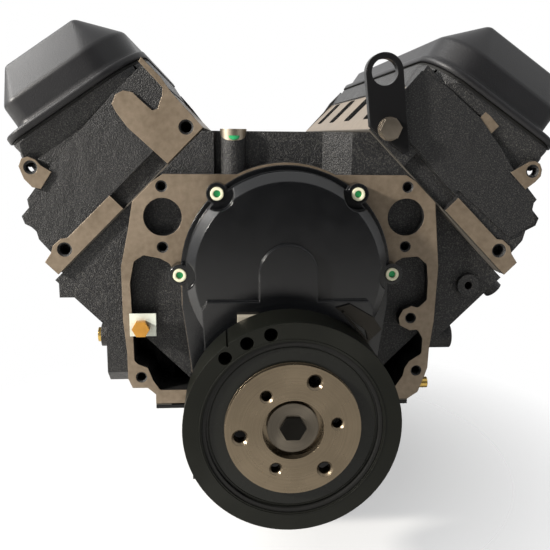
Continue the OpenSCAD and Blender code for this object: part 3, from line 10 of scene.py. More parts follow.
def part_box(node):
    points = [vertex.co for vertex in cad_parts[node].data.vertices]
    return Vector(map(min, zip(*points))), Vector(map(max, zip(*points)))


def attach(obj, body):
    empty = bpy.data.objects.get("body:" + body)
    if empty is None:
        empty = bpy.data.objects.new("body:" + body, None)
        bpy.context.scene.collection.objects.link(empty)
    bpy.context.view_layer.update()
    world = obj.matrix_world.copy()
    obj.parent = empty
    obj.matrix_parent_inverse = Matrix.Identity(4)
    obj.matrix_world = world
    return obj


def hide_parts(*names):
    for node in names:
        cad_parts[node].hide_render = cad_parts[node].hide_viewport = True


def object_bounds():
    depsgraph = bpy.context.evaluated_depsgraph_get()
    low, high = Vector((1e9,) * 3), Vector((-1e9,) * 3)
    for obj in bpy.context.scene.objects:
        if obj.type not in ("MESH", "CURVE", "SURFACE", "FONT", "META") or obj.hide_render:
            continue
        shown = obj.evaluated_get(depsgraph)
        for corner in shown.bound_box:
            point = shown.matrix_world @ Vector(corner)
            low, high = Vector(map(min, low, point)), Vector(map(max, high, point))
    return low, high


bl_info = {
    "name": "Long Block Finishes",
    "version": (1, 0, 0),
    "blender": (4, 5, 0),
    "location": "View3D > Sidebar > Long Block",
    "description": "Finishes, trim and studio for a vee eight long block",
    "category": "Object",
}

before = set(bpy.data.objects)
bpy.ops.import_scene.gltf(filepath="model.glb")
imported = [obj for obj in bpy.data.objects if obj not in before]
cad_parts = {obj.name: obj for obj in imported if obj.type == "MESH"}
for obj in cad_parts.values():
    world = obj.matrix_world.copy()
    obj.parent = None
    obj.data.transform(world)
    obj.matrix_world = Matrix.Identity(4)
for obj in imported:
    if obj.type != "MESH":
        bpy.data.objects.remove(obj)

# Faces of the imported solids, and the sine and cosine of a bank's 45 degrees
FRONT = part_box("timing_cover_gasket")[1].y
RING_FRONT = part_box("balancer_ring")[0].y
FLOOR_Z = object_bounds()[0][2]
HALF = math.sqrt(0.5)

# Milled planes of the block, each as its distance along its outward normal
DECK = 0.2489
PAN_RAIL = 0.012
MOUNT_PAD = 0.156
FUEL_PUMP_PAD = 0.188

# Milled planes of a head; its two end faces lie a little inside its farthest points
INTAKE_FACE = 0.134
EXHAUST_FACE = 0.072
HEAD_END = 0.001
HEAD_STEP = 0.003

# How near a milled plane a face lies, and how square to it, to be bare iron
PLANE_NEAR = 0.0002
PLANE_SQUARE = 0.96

# Castings: how high the lumps stand for one grain of sand, and how metallic milled iron looks
LUMP_HEIGHT = 1.4
MILLED_METALLIC = 0.4

# Valve cover rail in its bank: the head's base up from the crank's axis, and the rail's inner
# edge across the bank and up from that base
HEAD_BASE = 0.2504
RAIL_EDGE = (-0.1408, 0.0869)
RAIL_TILT = math.radians(11.13)
# A head reaches past its gasket by this much at each end
GASKET_INSET = 0.004
HEAD_LENGTH = (
    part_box("left_head_gasket")[1].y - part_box("left_head_gasket")[0].y + 2 * GASKET_INSET
)

# Valve cover outline: across from the rail's inner edge, and along from the head's front end
FLANGE_ACROSS = (0.0, 0.1574)
FLANGE_OVER = 0.002
FLANGE_GROW = 0.0015
BAND_ACROSS = (0.004, 0.144)
BAND_END = 0.005
CORNER_WIDE = 0.048
CORNER_SMALL = 0.018
CORNER_STEPS = 16

# Valve cover roof: it draws in towards its apex, and its corners grow sharper on the way up
ROOF_APEX = 0.0905
ROOF_WIDTH = 0.607
RIDGE_END = 0.035
SHARPEN_WIDE = 0.86
SHARPEN_SMALL = 0.6

# Valve cover section: heights over the rail, and the share of the roof that each curve takes
BAND_TOP = 0.0365
ROOF_RISE = 0.0355
COVER_TOP = 0.072
CURVE_BAND = 0.07
CURVE_RIDGE = 0.09
CURVE_STEPS = 6
COVER_SHEET = 0.0022
# The rolled flange: share of the way from flange to band, and height
ROLLED_FLANGE = (
    (0.0, 0.0032), (0.0, 0.0082), (0.02, 0.0094), (0.08, 0.0103), (0.2, 0.0108),
    (0.7, 0.0112), (0.88, 0.0118), (0.97, 0.0132), (1.0, 0.016),
)

# Front boss of the block: axis, radius and top, and how far its patches reach into its wall
BOSS = (-0.0525, FRONT + 0.017)
BOSS_R = 0.013
BOSS_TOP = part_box("cylinder_block")[1].z
BOSS_WALL = 0.001
BOSS_STEPS = 16

# Sealant in the sockets of the timing cover's bolts
SLEEVE_R = 0.0065
BOLT_X = 0.069
BOLT_Z = 0.129
DAB_DEPTH = 0.0035
DAB_R = 0.0034
DAB_THICK = 0.001
DAB_STEPS = 24

# Turned lips beside the balancer's rubber: radius, and distance behind the ring's face
LIPS = ((0.0858, 0.0), (0.0776, 0.004))
LIP_ROOT = 0.0002
LIP_CROWN = 0.6
LIP_STEPS = 128
# Inside this radius the hub's face is bare metal, and outside it is coated
HUB_BARE_R = 0.0634

# Meshes: welding distance, and the sharpest bend that is still shaded smooth
WELD = 1e-6
SMOOTH_BEND = math.radians(35)

# Studio: the lamps aim at the engine's middle, and the camera stands where the photo's did
MIDDLE = (0.0, -0.3, 0.1)
FLOOR_GAP = 0.0002
FLOOR_HALF = 14.0
FLAG_AT = (0.9, -2.6, 0.5)
FLAG_HALF = 1.6
CAMERA_AT = (-0.065, -1.2587, 0.2652)
CAMERA_AIM = (0.0774, 0.9769, -0.1993)
CAMERA_ROLL = math.radians(0.58)
CAMERA_REACH = 60.0
SENSOR_WIDTH = 36.0


def linear(hexa):
    """An sRGB hex colour as linear red, green and blue."""
    values = [int(hexa[i:i + 2], 16) / 255 for i in (1, 3, 5)]
    return tuple(v / 12.92 if v <= 0.04045 else ((v + 0.055) / 1.055) ** 2.4 for v in values)


def colour(name, hexa, text):
    """A colour property whose default is an sRGB hex colour."""
    return FloatVectorProperty(
        name=name, description=text, subtype="COLOR", size=3, min=0, max=1, default=linear(hexa),
    )


def length(name, metres, text):
    """A length property in metres."""
    return FloatProperty(
        name=name, description=text, subtype="DISTANCE", unit="LENGTH", default=metres, precision=5,
    )


def lamp_power(name, value, text, subtype="NONE"):
    """A property for the power of a lamp."""
    return FloatProperty(name=name, description=text, default=value, min=0.0, subtype=subtype)


class CastingFinish(bpy.types.PropertyGroup):
    """Paint, sand grain and machined faces of the block and the heads."""

    paint: colour("Paint", "#151517", "Black paint over the castings")
    # Partly dust and partly a painted glint: the sunlit sparkle of the sand grain is painted into
    # this colour
    dust_and_painted_glint: colour("Crest", "#4D4C48", "Dust and light on the crests of the sand grain")
    iron: colour("Machined iron", "#8D7F6E", "Milled faces of the block and the heads")
    iron_dark: colour("Machined iron, dark", "#6D6050", "Darker patches in the milled faces")
    grain: length("Sand grain", 0.0013, "Size of the sand grain")
    grain_depth: length("Grain depth", 0.0009, "Depth of the sand grain")


class CoverFinish(bpy.types.PropertyGroup):
    """Paint and moulded plastic of the covers."""

    paint: colour("Cover paint", "#19191B", "Satin black paint of the valve covers")
    pan: colour("Pan paint", "#121213", "Gloss black paint of the oil pan")
    nylon: colour("Nylon", "#0D0E10", "Black moulded nylon of the timing cover")
    sleeve: colour("Bolt sleeve", "#E9E6C8", "Cream coating of the timing cover bolts")
    sealant: colour("Sealant", "#35A468", "Green sealant in the bolt sockets")


class BalancerFinish(bpy.types.PropertyGroup):
    """Turned faces of the balancer."""

    ring: colour("Ring", "#191A16", "Thin dark coating of the turned ring")
    hub: colour("Hub", "#6E6353", "Bare turned face of the hub")
    groove: length("Groove", 0.0007, "Height of the turned lips beside the rubber")
    pitch: length("Lathe pitch", 0.0009, "Distance between turned lines")


class MetalFinish(bpy.types.PropertyGroup):
    """Bare metals, plating and rubber."""

    steel: colour("Steel", "#A39D93", "Ground steel")
    forged: colour("Forged steel", "#6E6962", "Forged and peened steel")
    oxide: colour("Black oxide", "#1B1A18", "Blackened steel")
    aluminium: colour("Aluminium", "#C9C6BF", "Turned cast aluminium")
    zinc: colour("White zinc", "#DDE2D6", "White zinc plate")
    yellow: colour("Yellow zinc", "#C68F3E", "Yellow chromated zinc")
    rubber: colour("Rubber", "#171716", "Moulded nitrile rubber")


class StudioSettings(bpy.types.PropertyGroup):
    """Floor, lamps and camera."""

    floor: colour("Floor", "#EDEDEC", "Plain pale floor")
    key: lamp_power("Key light", 170.0, "Strength of the main light", "POWER")
    sky: lamp_power("Left soft box", 60.0, "Strength of the large light at the left")
    fill: lamp_power("Fill", 6.0, "Strength of the light from the front")
    focal: FloatProperty(
        name="Focal length", description="Focal length of the camera", default=45.11, min=1.0,
        subtype="DISTANCE_CAMERA",
    )


def add(tree, kind, inputs=None, **settings):
    """Adds one node, sets its settings, and sets or links its inputs."""
    node = tree.nodes.new(kind)
    for name, value in settings.items():
        setattr(node, name, value)
    for key, value in (inputs or {}).items():
        put(tree, node.inputs[key], value)
    return node


def put(tree, socket, value):
    """Links a socket to another one, or sets its value; a colour gets its alpha."""
    if isinstance(value, bpy.types.NodeSocket):
        tree.links.new(value, socket)
    elif socket.type == "RGBA" and len(value) == 3:
        socket.default_value = (*value, 1.0)
    else:
        socket.default_value = value


def maths(tree, operation, *values):
    """The result of one step of arithmetic."""
    return add(tree, "ShaderNodeMath", dict(enumerate(values)), operation=operation).outputs[0]


def measure(tree, operation, *vectors):
    """A number measured from one or two vectors."""
    inputs = dict(enumerate(vectors))
    return add(tree, "ShaderNodeVectorMath", inputs, operation=operation).outputs["Value"]


def noise(tree, place, size, detail, **more):
    """A noise between 0 and 1 with features of about the size, in metres."""
    inputs = {"Vector": place, "Scale": 1 / size, "Detail": detail, **more}
    return add(tree, "ShaderNodeTexNoise", inputs).outputs["Fac"]


def spread(tree, value, to, found=(0.0, 1.0)):
    """The value carried from the range that it is found in to another one."""
    return add(tree, "ShaderNodeMapRange", {
        "Value": value, "From Min": found[0], "From Max": found[1],
        "To Min": to[0], "To Max": to[1],
    }).outputs[0]


def blend(tree, share, first, second, blend_type="MIX"):
    """The colour between two others, or another blend of them."""
    inputs = {0: share, 6: first, 7: second}
    node = add(tree, "ShaderNodeMix", inputs, data_type="RGBA", blend_type=blend_type)
    return node.outputs[2]


def shaded(tree, shade, tone):
    """A colour made darker or lighter by a tone about 1."""
    return blend(tree, 1.0, shade, tone, "MULTIPLY")


def relief(tree, height, depth, rounding, strength=1.0):
    """The normal of a surface with softened edges and a fine relief, in metres."""
    rounded = add(tree, "ShaderNodeBevel", {"Radius": rounding}, samples=4).outputs[0]
    return add(tree, "ShaderNodeBump", {
        "Strength": strength, "Distance": depth, "Height": height, "Normal": rounded,
    }).outputs[0]


def start(name):
    """An empty material with its tree, its Principled shader and Object coordinates."""
    mat = bpy.data.materials.new(name)
    mat.use_nodes = True
    tree = mat.node_tree
    tree.nodes.clear()
    shader = add(tree, "ShaderNodeBsdfPrincipled")
    add(tree, "ShaderNodeOutputMaterial", {"Surface": shader.outputs["BSDF"]})
    place = add(tree, "ShaderNodeTexCoord").outputs["Object"]
    return mat, tree, shader, place


def wire(tree, shader, **inputs):
    """Links or sets the shader's inputs, with spaces written as underscores."""
    for key, value in inputs.items():
        put(tree, shader.inputs[key.replace("_", " ")], value)


def dress(node, mat):
    """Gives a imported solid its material."""
    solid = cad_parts[node]
    solid.data.materials.clear()
    solid.data.materials.append(mat)


def mesh_of(name, bm, mat):
    """A mesh from a bmesh, which is freed."""
    mesh = bpy.data.meshes.new(name)
    bm.to_mesh(mesh)
    bm.free()
    mesh.materials.append(mat)
    return mesh


def finished(name, bm, mat, body):
    """A new piece from a bmesh: smooth, outward faces, at the origin, riding on its body."""
    bmesh.ops.remove_doubles(bm, verts=bm.verts, dist=WELD)
    bmesh.ops.recalc_face_normals(bm, faces=bm.faces)
    mesh = mesh_of(name, bm, mat)
    mesh.set_sharp_from_angle(angle=SMOOTH_BEND)
    for face in mesh.polygons:
        face.use_smooth = True
    piece = bpy.data.objects.new(name, mesh)
    bpy.context.scene.collection.objects.link(piece)
    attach(piece, body)
    return piece


def turned(profile, steps):
    """A closed ring turned about the Y axis from (radius, y) points."""
    bm = bmesh.new()
    verts = [bm.verts.new((radius, y, 0.0)) for radius, y in profile]
    edges = [bm.edges.new((verts[i - 1], verts[i])) for i in range(len(verts))]
    bmesh.ops.spin(
        bm, geom=verts + edges, cent=(0, 0, 0), axis=(0, 1, 0),
        angle=2 * math.pi, steps=steps, use_merge=True,
    )
    return bm


def milled_mask(tree, place, planes):
    """One where a face lies in one of the milled planes, each an outward normal and a distance."""
    facing = add(tree, "ShaderNodeTexCoord").outputs["Normal"]
    found = 0.0
    for normal, distance in planes:
        along = measure(tree, "DOT_PRODUCT", place, normal)
        square = measure(tree, "DOT_PRODUCT", facing, normal)
        here = maths(tree, "COMPARE", along, distance, PLANE_NEAR)
        level = maths(tree, "GREATER_THAN", square, PLANE_SQUARE)
        found = maths(tree, "MAXIMUM", found, maths(tree, "MULTIPLY", here, level))
    return found


def painted_casting(name, planes, props):
    """Black paint over sand-cast iron: the sand's grain stays, and cutters bared the seats."""
    mat, tree, shader, place = start(name)
    milled = milled_mask(tree, place, planes)
    rough = maths(tree, "SUBTRACT", 1.0, milled)
    grain = noise(tree, place, size=props.grain, detail=3.0, Roughness=0.6)
    lumps = noise(tree, place, size=0.011, detail=2.0)
    wear = noise(tree, place, size=0.045, detail=2.0)
    height = maths(tree, "MULTIPLY_ADD", lumps, LUMP_HEIGHT, grain)
    # The grain's crests take a colour that is partly dust and partly a painted glint of light
    dust_and_painted_glint = spread(tree, grain, to=(0.0, 1.0), found=(0.5, 0.72))
    paint = blend(tree, dust_and_painted_glint, tuple(props.paint), tuple(props.dust_and_painted_glint))
    # Patches of tarnish on the milled faces, a few millimetres to a few centimetres wide
    blots = noise(tree, place, size=0.006, detail=4.0)
    tarnish = maths(tree, "ADD", blots, wear)
    shade = spread(tree, tarnish, to=(0.0, 1.0), found=(0.6, 1.4))
    iron = blend(tree, shade, tuple(props.iron_dark), tuple(props.iron))
    depth = maths(tree, "MULTIPLY", height, rough)
    wire(
        tree, shader,
        Base_Color=blend(tree, milled, paint, iron),
        Roughness=spread(tree, wear, to=(0.34, 0.5)),
        Metallic=maths(tree, "MULTIPLY", milled, MILLED_METALLIC),
        Normal=relief(tree, depth, props.grain_depth, rounding=0.0009),
        Specular_IOR_Level=0.35,
    )
    return mat


class LONGBLOCK_OT_castings(bpy.types.Operator):
    """Block and cylinder heads: black paint over sand-cast iron with milled seats"""

    bl_idname = "longblock.castings"
    bl_label = "Castings"

    def execute(self, context):
        props = context.scene.castings
        rear_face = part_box("cylinder_block")[1].y
        dress("cylinder_block", painted_casting("black_paint_on_sand_cast_block", (
            ((0, -1, 0), -FRONT), ((0, 1, 0), rear_face), ((0, 0, -1), PAN_RAIL),
            ((1, 0, 0), MOUNT_PAD), ((-1, 0, 0), MOUNT_PAD), ((-1, 0, 0), FUEL_PUMP_PAD),
            ((HALF, 0, HALF), DECK), ((-HALF, 0, HALF), DECK),
        ), props))
        for side, word in ((-1, "left"), (1, "right")):
            low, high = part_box(word + "_cylinder_head")
            head = painted_casting("black_paint_on_sand_cast_%s_head" % word, (
                ((0, -1, 0), -low.y - HEAD_END), ((0, -1, 0), -low.y - HEAD_STEP),
                ((0, 1, 0), high.y - HEAD_END),
                ((-side * HALF, 0, HALF), INTAKE_FACE), ((side * HALF, 0, -HALF), EXHAUST_FACE),
            ), props)
            dress(word + "_cylinder_head", head)
        caps = painted_casting("cast_iron_caps_and_pump", (((0, 0, 1), 0.0),), props)
        dress("main_bearing_caps", caps)
        dress("oil_pump", caps)
        return {"FINISHED"}


def sprayed_paint(name, shade, gloss, peel=0.0011, depth=0.00006, shine=0.2):
    """Sprayed enamel on pressed steel: a faint orange peel breaks up the reflections."""
    mat, tree, shader, place = start(name)
    skin = noise(tree, place, size=peel, detail=2.0)
    cloud = noise(tree, place, size=0.06, detail=3.0)
    wire(
        tree, shader,
        Base_Color=shaded(tree, shade, spread(tree, cloud, to=(0.8, 1.15))),
        Roughness=spread(tree, cloud, to=(gloss - 0.05, gloss + 0.06)),
        Normal=relief(tree, skin, depth, rounding=0.0016),
        Specular_IOR_Level=shine,
    )
    return mat


def moulded_nylon(name, shade, gloss=0.36, shine=0.2):
    """Glass-filled nylon out of a polished mould: satin, with a very faint flow mottle."""
    mat, tree, shader, place = start(name)
    flow = noise(tree, place, size=0.02, detail=4.0, Distortion=0.6)
    fine = noise(tree, place, size=0.0006, detail=1.0)
    wire(
        tree, shader,
        Base_Color=shaded(tree, shade, spread(tree, flow, to=(0.85, 1.15))),
        Roughness=spread(tree, flow, to=(gloss - 0.06, gloss + 0.06)),
        Normal=relief(tree, fine, depth=0.00003, rounding=0.0018, strength=0.6),
        Specular_IOR_Level=shine,
    )
    return mat


def on_rail(side, front, across, along, up):
    """A point over a valve cover's rail: across it, along the engine and square to it."""
    u = RAIL_EDGE[0] + across * math.cos(RAIL_TILT) - up * math.sin(RAIL_TILT)
    v = HEAD_BASE + RAIL_EDGE[1] + across * math.sin(RAIL_TILT) + up * math.cos(RAIL_TILT)
    return (side * (u + v) * HALF, front + along, (v - u) * HALF)


def cover_plan(across, end, grow, climb=0.0):
    """An outline with a wide curve at its two inner corners and a small one at its outer ones."""
    x0, x1 = across
    y0, y1 = end, HEAD_LENGTH - end
    wide = CORNER_WIDE * (1 - SHARPEN_WIDE * climb)
    small = CORNER_SMALL * (1 - SHARPEN_SMALL * climb)
    outline = []
    for x, y, radius, turn in (
        (x0 + wide, y0 + wide, wide, 180), (x1 - small, y0 + small, small, 270),
        (x1 - small, y1 - small, small, 0), (x0 + wide, y1 - wide, wide, 90),
    ):
        for k in range(CORNER_STEPS + 1):
            angle = math.radians(turn + 90 * k / CORNER_STEPS)
            reach = radius + grow
            outline.append((x + reach * math.cos(angle), y + reach * math.sin(angle)))
    return outline


def cover_section():
    """From flange to ridge: share of the way from flange to band, climb of the roof, and height."""
    section = [(share, 0.0, height) for share, height in ROLLED_FLANGE]
    curve = [k / CURVE_STEPS for k in range(CURVE_STEPS + 1)]
    for t in curve:
        height = BAND_TOP + ROOF_RISE * CURVE_BAND * (t * t - (1 - t) ** 2)
        section.append((1.0, CURVE_BAND * t * t, height))
    for t in curve:
        climb = 1 + CURVE_RIDGE * (t * t - (1 - t) ** 2)
        section.append((1.0, climb, COVER_TOP - ROOF_RISE * CURVE_RIDGE * (1 - t) ** 2))
    return section


def pressed_cover(name, side, mat):
    """A valve cover pressed from sheet: rolled flange, upright band, and a roof that draws in."""
    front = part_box(name.split("_")[0] + "_head_gasket")[0].y - GASKET_INSET
    flange = cover_plan(FLANGE_ACROSS, -FLANGE_OVER, FLANGE_GROW)
    apex = (ROOF_APEX, HEAD_LENGTH / 2)
    draw = (1 - ROOF_WIDTH, 1 - (HEAD_LENGTH - 2 * RIDGE_END) / (HEAD_LENGTH - 2 * BAND_END))
    bm = bmesh.new()
    rings = []
    for share, climb, height in cover_section():
        ring = []
        for outer, inner in zip(flange, cover_plan(BAND_ACROSS, BAND_END, 0.0, climb)):
            spot = [outer[i] + (inner[i] - outer[i]) * share for i in (0, 1)]
            spot = [apex[i] + (spot[i] - apex[i]) * (1 - draw[i] * climb) for i in (0, 1)]
            ring.append(bm.verts.new(on_rail(side, front, spot[0], spot[1], height)))
        rings.append(ring)
    for lower, upper in zip(rings, rings[1:]):
        for k in range(len(lower)):
            bm.faces.new((lower[k - 1], lower[k], upper[k], upper[k - 1]))
    bm.faces.new(rings[-1])
    piece = finished(name + "_pressing", bm, mat, "engine")
    sheet = piece.modifiers.new("sheet", "SOLIDIFY")
    sheet.thickness = COVER_SHEET
    sheet.offset = -1.0
    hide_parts(name)


def on_boss(angle, radius, z):
    """A point about the front boss's axis, turned from its foremost line."""
    return (BOSS[0] + radius * math.sin(angle), BOSS[1] - radius * math.cos(angle), z)


def boss_skin(name, top, drop, turn, wide, proud, mat):
    """A patch with a curved foot round the front boss, as wide to each side of its turn."""
    bm = bmesh.new()
    rows = []
    for k in range(BOSS_STEPS + 1):
        share = 2 * k / BOSS_STEPS - 1
        angle = turn + wide * share
        # A touch over one, so that the foot keeps some height at its two ends
        low = top - drop * math.sqrt(1.0001 - share * share)
        rows.append([
            bm.verts.new(on_boss(angle, radius, z)) for radius, z in (
                (BOSS_R + proud, low), (BOSS_R + proud, top),
                (BOSS_R - BOSS_WALL, top), (BOSS_R - BOSS_WALL, low),
            )
        ])
    for left, right in zip(rows, rows[1:]):
        for i in range(4):
            bm.faces.new((left[i - 1], left[i], right[i], right[i - 1]))
    bm.faces.new(rows[0])
    bm.faces.new(rows[-1])
    finished(name, bm, mat, "engine")


class LONGBLOCK_OT_covers(bpy.types.Operator):
    """Valve covers, oil pan, timing cover, caps, their bolts and the sealant dabs"""

    bl_idname = "longblock.covers"
    bl_label = "Covers"

    def execute(self, context):
        props = context.scene.covers
        satin = sprayed_paint(
            "satin_black_enamel_on_pressed_steel", tuple(props.paint), 0.42,
            peel=0.0013, depth=0.00016, shine=0.32,
        )
        for node in ("left_valve_cover", "right_valve_cover", "valve_cover_bolts"):
            dress(node, satin)
        pressed_cover("left_valve_cover", -1, satin)
        pressed_cover("right_valve_cover", 1, satin)
        gloss = sprayed_paint("gloss_black_enamel_on_pressed_steel", tuple(props.pan), 0.26)
        for node in ("oil_pan", "oil_pan_bolts"):
            dress(node, gloss)
        nylon = moulded_nylon("black_moulded_nylon", tuple(props.nylon), 0.22, shine=0.5)
        for node in ("timing_cover", "oil_filler_cap", "breather_cap"):
            dress(node, nylon)
        cream = moulded_nylon("cream_coated_bolt_sleeve", tuple(props.sleeve), 0.42)
        dress("timing_cover_bolts", cream)
        sealant = moulded_nylon("green_thread_sealant", tuple(props.sealant), 0.3)
        low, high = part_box("timing_cover_bolts")
        reach = (high.x - low.x) / 2 - SLEEVE_R
        top = high.z - SLEEVE_R
        for number, (x, z) in enumerate((
            (-BOLT_X, top), (BOLT_X, top), (-reach, BOLT_Z), (reach, BOLT_Z),
        )):
            bm = bmesh.new()
            disc = bmesh.ops.create_circle(bm, cap_ends=True, radius=DAB_R, segments=DAB_STEPS)
            disc = disc["verts"]
            bmesh.ops.rotate(bm, verts=disc, matrix=Matrix.Rotation(math.pi / 2, 3, "X"))
            bmesh.ops.translate(bm, verts=disc, vec=(x, low.y + DAB_DEPTH, z))
            thick = bmesh.ops.extrude_face_region(bm, geom=bm.faces[:])["geom"]
            crown = [v for v in thick if isinstance(v, bmesh.types.BMVert)]
            bmesh.ops.translate(bm, verts=crown, vec=(0, -DAB_THICK, 0))
            finished("sealant_dab_%d" % number, bm, sealant, "engine")
        # This pale patch on the front boss is bare drilled metal and also a painted highlight: it
        # is lighter than the milled iron so that it stands for the lit slant of the boss's top
        drilled_and_highlight = bare_metal("boss_face_and_painted_highlight", linear("#A79C8B"), 0.4)
        boss_skin(
            "boss_face", BOSS_TOP, drop=0.0115, turn=0.0, wide=1.45, proud=0.0004,
            mat=drilled_and_highlight,
        )
        boss_skin(
            "boss_sealant", BOSS_TOP - 0.0065, drop=0.0042, turn=0.05, wide=0.42, proud=0.0011,
            mat=sealant,
        )
        return {"FINISHED"}


def lathe_turned(name, shade, metallic, gloss, pitch, depth=0.00004, bare_to=None):
    """Iron faced on a lathe: fine rings about the axis stretch each highlight into a fan."""
    mat, tree, shader, place = start(name)
    split = add(tree, "ShaderNodeSeparateXYZ", {0: place}).outputs
    flat = add(tree, "ShaderNodeCombineXYZ", {"X": split["X"], "Y": split["Z"]}).outputs[0]
    radius = measure(tree, "LENGTH", flat)
    rings = add(
        tree, "ShaderNodeTexNoise", {"W": radius, "Scale": 1 / pitch, "Detail": 3.0},
        noise_dimensions="1D",
    ).outputs["Fac"]
    stain = noise(tree, place, size=0.03, detail=4.0)
    tone = maths(tree, "ADD", rings, stain)
    base = shaded(tree, shade, spread(tree, tone, to=(0.72, 1.2), found=(0.6, 1.4)))
    wire(
        tree, shader,
        Base_Color=base,
        Roughness=spread(tree, stain, to=(gloss - 0.06, gloss + 0.08)),
        Metallic=metallic,
        Normal=relief(tree, rings, depth, rounding=0.0006),
        Specular_IOR_Level=0.2,
        Anisotropic=0.75,
        Tangent=add(tree, "ShaderNodeTangent", direction_type="RADIAL", axis="Y").outputs[0],
    )
    if bare_to:
        bare = maths(tree, "LESS_THAN", radius, bare_to)
        wire(
            tree, shader,
            Base_Color=blend(tree, bare, linear("#161714"), base),
            Metallic=maths(tree, "MULTIPLY", bare, metallic),
        )
    return mat


class LONGBLOCK_OT_balancer(bpy.types.Operator):
    """Balancer ring, hub and washer, with the turned lips beside the rubber"""

    bl_idname = "longblock.balancer"
    bl_label = "Balancer"

    def execute(self, context):
        props = context.scene.balancer
        pitch = props.pitch
        ring = lathe_turned("dark_coated_turned_iron_ring", tuple(props.ring), 0.35, 0.4, pitch)
        dress("balancer_ring", ring)
        dress("balancer_hub", lathe_turned(
            "bare_turned_iron_hub", tuple(props.hub), 0.85, 0.26, pitch,
            depth=0.00006, bare_to=HUB_BARE_R,
        ))
        washer = lathe_turned("plain_steel_washer", linear("#5B554C"), 0.7, 0.4, pitch)
        dress("balancer_washer", washer)
        lip = props.groove
        for number, (radius, back) in enumerate(LIPS):
            root = RING_FRONT + back + LIP_ROOT
            crown = RING_FRONT + back - lip
            bm = turned((
                (radius - lip, root), (radius - lip * LIP_CROWN, crown),
                (radius + lip * LIP_CROWN, crown), (radius + lip, root),
            ), LIP_STEPS)
            finished("turned_lip_%d" % number, bm, ring, "crank")
        return {"FINISHED"}


def bare_metal(name, shade, gloss, scratch=0.0006, depth=0.00002, metallic=1.0):
    """Machined or forged steel: fine scratches and a little tarnish."""
    mat, tree, shader, place = start(name)
    marks = noise(tree, place, size=scratch, detail=3.0)
    tarnish = noise(tree, place, size=0.016, detail=4.0)
    tone = spread(tree, tarnish, to=(0.78, 1.12), found=(0.3, 0.7))
    wire(
        tree, shader,
        Base_Color=shaded(tree, shade, tone),
        Roughness=spread(tree, tarnish, to=(gloss - 0.07, gloss + 0.09)),
        Metallic=metallic,
        Normal=relief(tree, marks, depth, rounding=0.0005),
    )
    return mat


class LONGBLOCK_OT_metals(bpy.types.Operator):
    """Crank, rods, pistons, valve gear, timing drive, fasteners, gaskets and seals"""

    bl_idname = "longblock.metals"
    bl_label = "Metals and seals"

    def execute(self, context):
        props = context.scene.metals
        steel, forged, oxide = tuple(props.steel), tuple(props.forged), tuple(props.oxide)
        zinc, yellow, rubber = tuple(props.zinc), tuple(props.yellow), tuple(props.rubber)
        for mat, nodes in (
            (bare_metal("ground_steel", steel, 0.3), (
                "crankshaft", "camshaft", "piston_pins", "valve_lifters",
                "intake_valves", "exhaust_valves", "cam_thrust_plate")),
            (bare_metal("bright_spring_steel", steel, 0.26), (
                "valve_springs", "pushrods", "lifter_retainer")),
            (bare_metal("shot_peened_forged_steel", forged, 0.48, 0.0009, 0.0001), (
                "connecting_rods", "rod_caps", "rocker_arms",
                "crank_sprocket", "cam_sprocket", "timing_chain")),
            (bare_metal("black_oxide_steel", oxide, 0.4), (
                "main_cap_bolts", "head_bolts", "spring_retainers", "rocker_studs",
                "cam_sprocket_bolts", "balancer_bolt", "drain_plug")),
            (bare_metal("turned_cast_aluminium", tuple(props.aluminium), 0.34), (
                "pistons", "main_bearings", "cam_bearings", "rod_bearings")),
            (bare_metal("yellow_zinc_pressed_cups", linear("#B5A36A"), 0.34), ("core_plugs",)),
            (bare_metal("plain_machined_bolt_head", linear("#857C70"), 0.42), (
                "lifting_eye_bolt",)),
            (bare_metal("white_zinc_sheet", zinc, 0.5, metallic=0.25), ("tag_plate",)),
            (bare_metal("yellow_chromated_zinc", yellow, 0.34, 0.0014, 0.0001, 0.75), (
                "tag_bolt",)),
            (bare_metal("plain_brass", linear("#C2A35A"), 0.3), ("block_plugs",)),
            (sprayed_paint("satin_black_steel_plate", linear("#161617"), 0.34), ("lifting_eye",)),
            (moulded_nylon("natural_nylon", linear("#A39C8E"), 0.45), ("crank_sensor",)),
            (bare_metal("dark_steel_pointer", linear("#33312E"), 0.25), ("timing_pointer",)),
            (moulded_nylon("nitrile_rubber", rubber, 0.62), (
                "balancer_rubber", "front_crank_seal", "rear_main_seal", "valve_cover_gaskets")),
            (moulded_nylon("graphite_composite_gasket", linear("#57534D"), 0.7), (
                "left_head_gasket", "right_head_gasket",
                "timing_cover_gasket", "oil_pan_gasket")),
        ):
            for node in nodes:
                dress(node, mat)
        return {"FINISHED"}


def soft_box(name, place, size, power, tint):
    """A square area lamp aimed at the engine's middle."""
    lamp = bpy.data.lights.new(name, "AREA")
    lamp.shape = "SQUARE"
    lamp.size = size
    lamp.energy = power
    lamp.color = tint
    holder = bpy.data.objects.new(name, lamp)
    holder.location = place
    aim = Vector(MIDDLE) - Vector(place)
    holder.rotation_euler = aim.to_track_quat("-Z", "Y").to_euler()
    bpy.context.scene.collection.objects.link(holder)


def unseen(tree, shader, share):
    """Hides a share of a studio surface from the camera, so that what is behind it shows."""
    seen = add(tree, "ShaderNodeLightPath").outputs["Is Camera Ray"]
    gone = maths(tree, "MULTIPLY", share, seen)
    clear = add(tree, "ShaderNodeBsdfTransparent").outputs[0]
    mixed = add(tree, "ShaderNodeMixShader", {0: gone, 1: shader.outputs[0], 2: clear})
    put(tree, tree.nodes["Material Output"].inputs["Surface"], mixed.outputs[0])


def screen(name, mat, place, half, lean=0.0):
    """A flat square of the studio, lying down or leaned up about the X axis."""
    bm = bmesh.new()
    bmesh.ops.create_grid(bm, x_segments=1, y_segments=1, size=half)
    bmesh.ops.rotate(bm, verts=bm.verts, matrix=Matrix.Rotation(lean, 3, "X"))
    bmesh.ops.translate(bm, verts=bm.verts, vec=place)
    sheet = bpy.data.objects.new(name, mesh_of(name, bm, mat))
    bpy.context.scene.collection.objects.link(sheet)


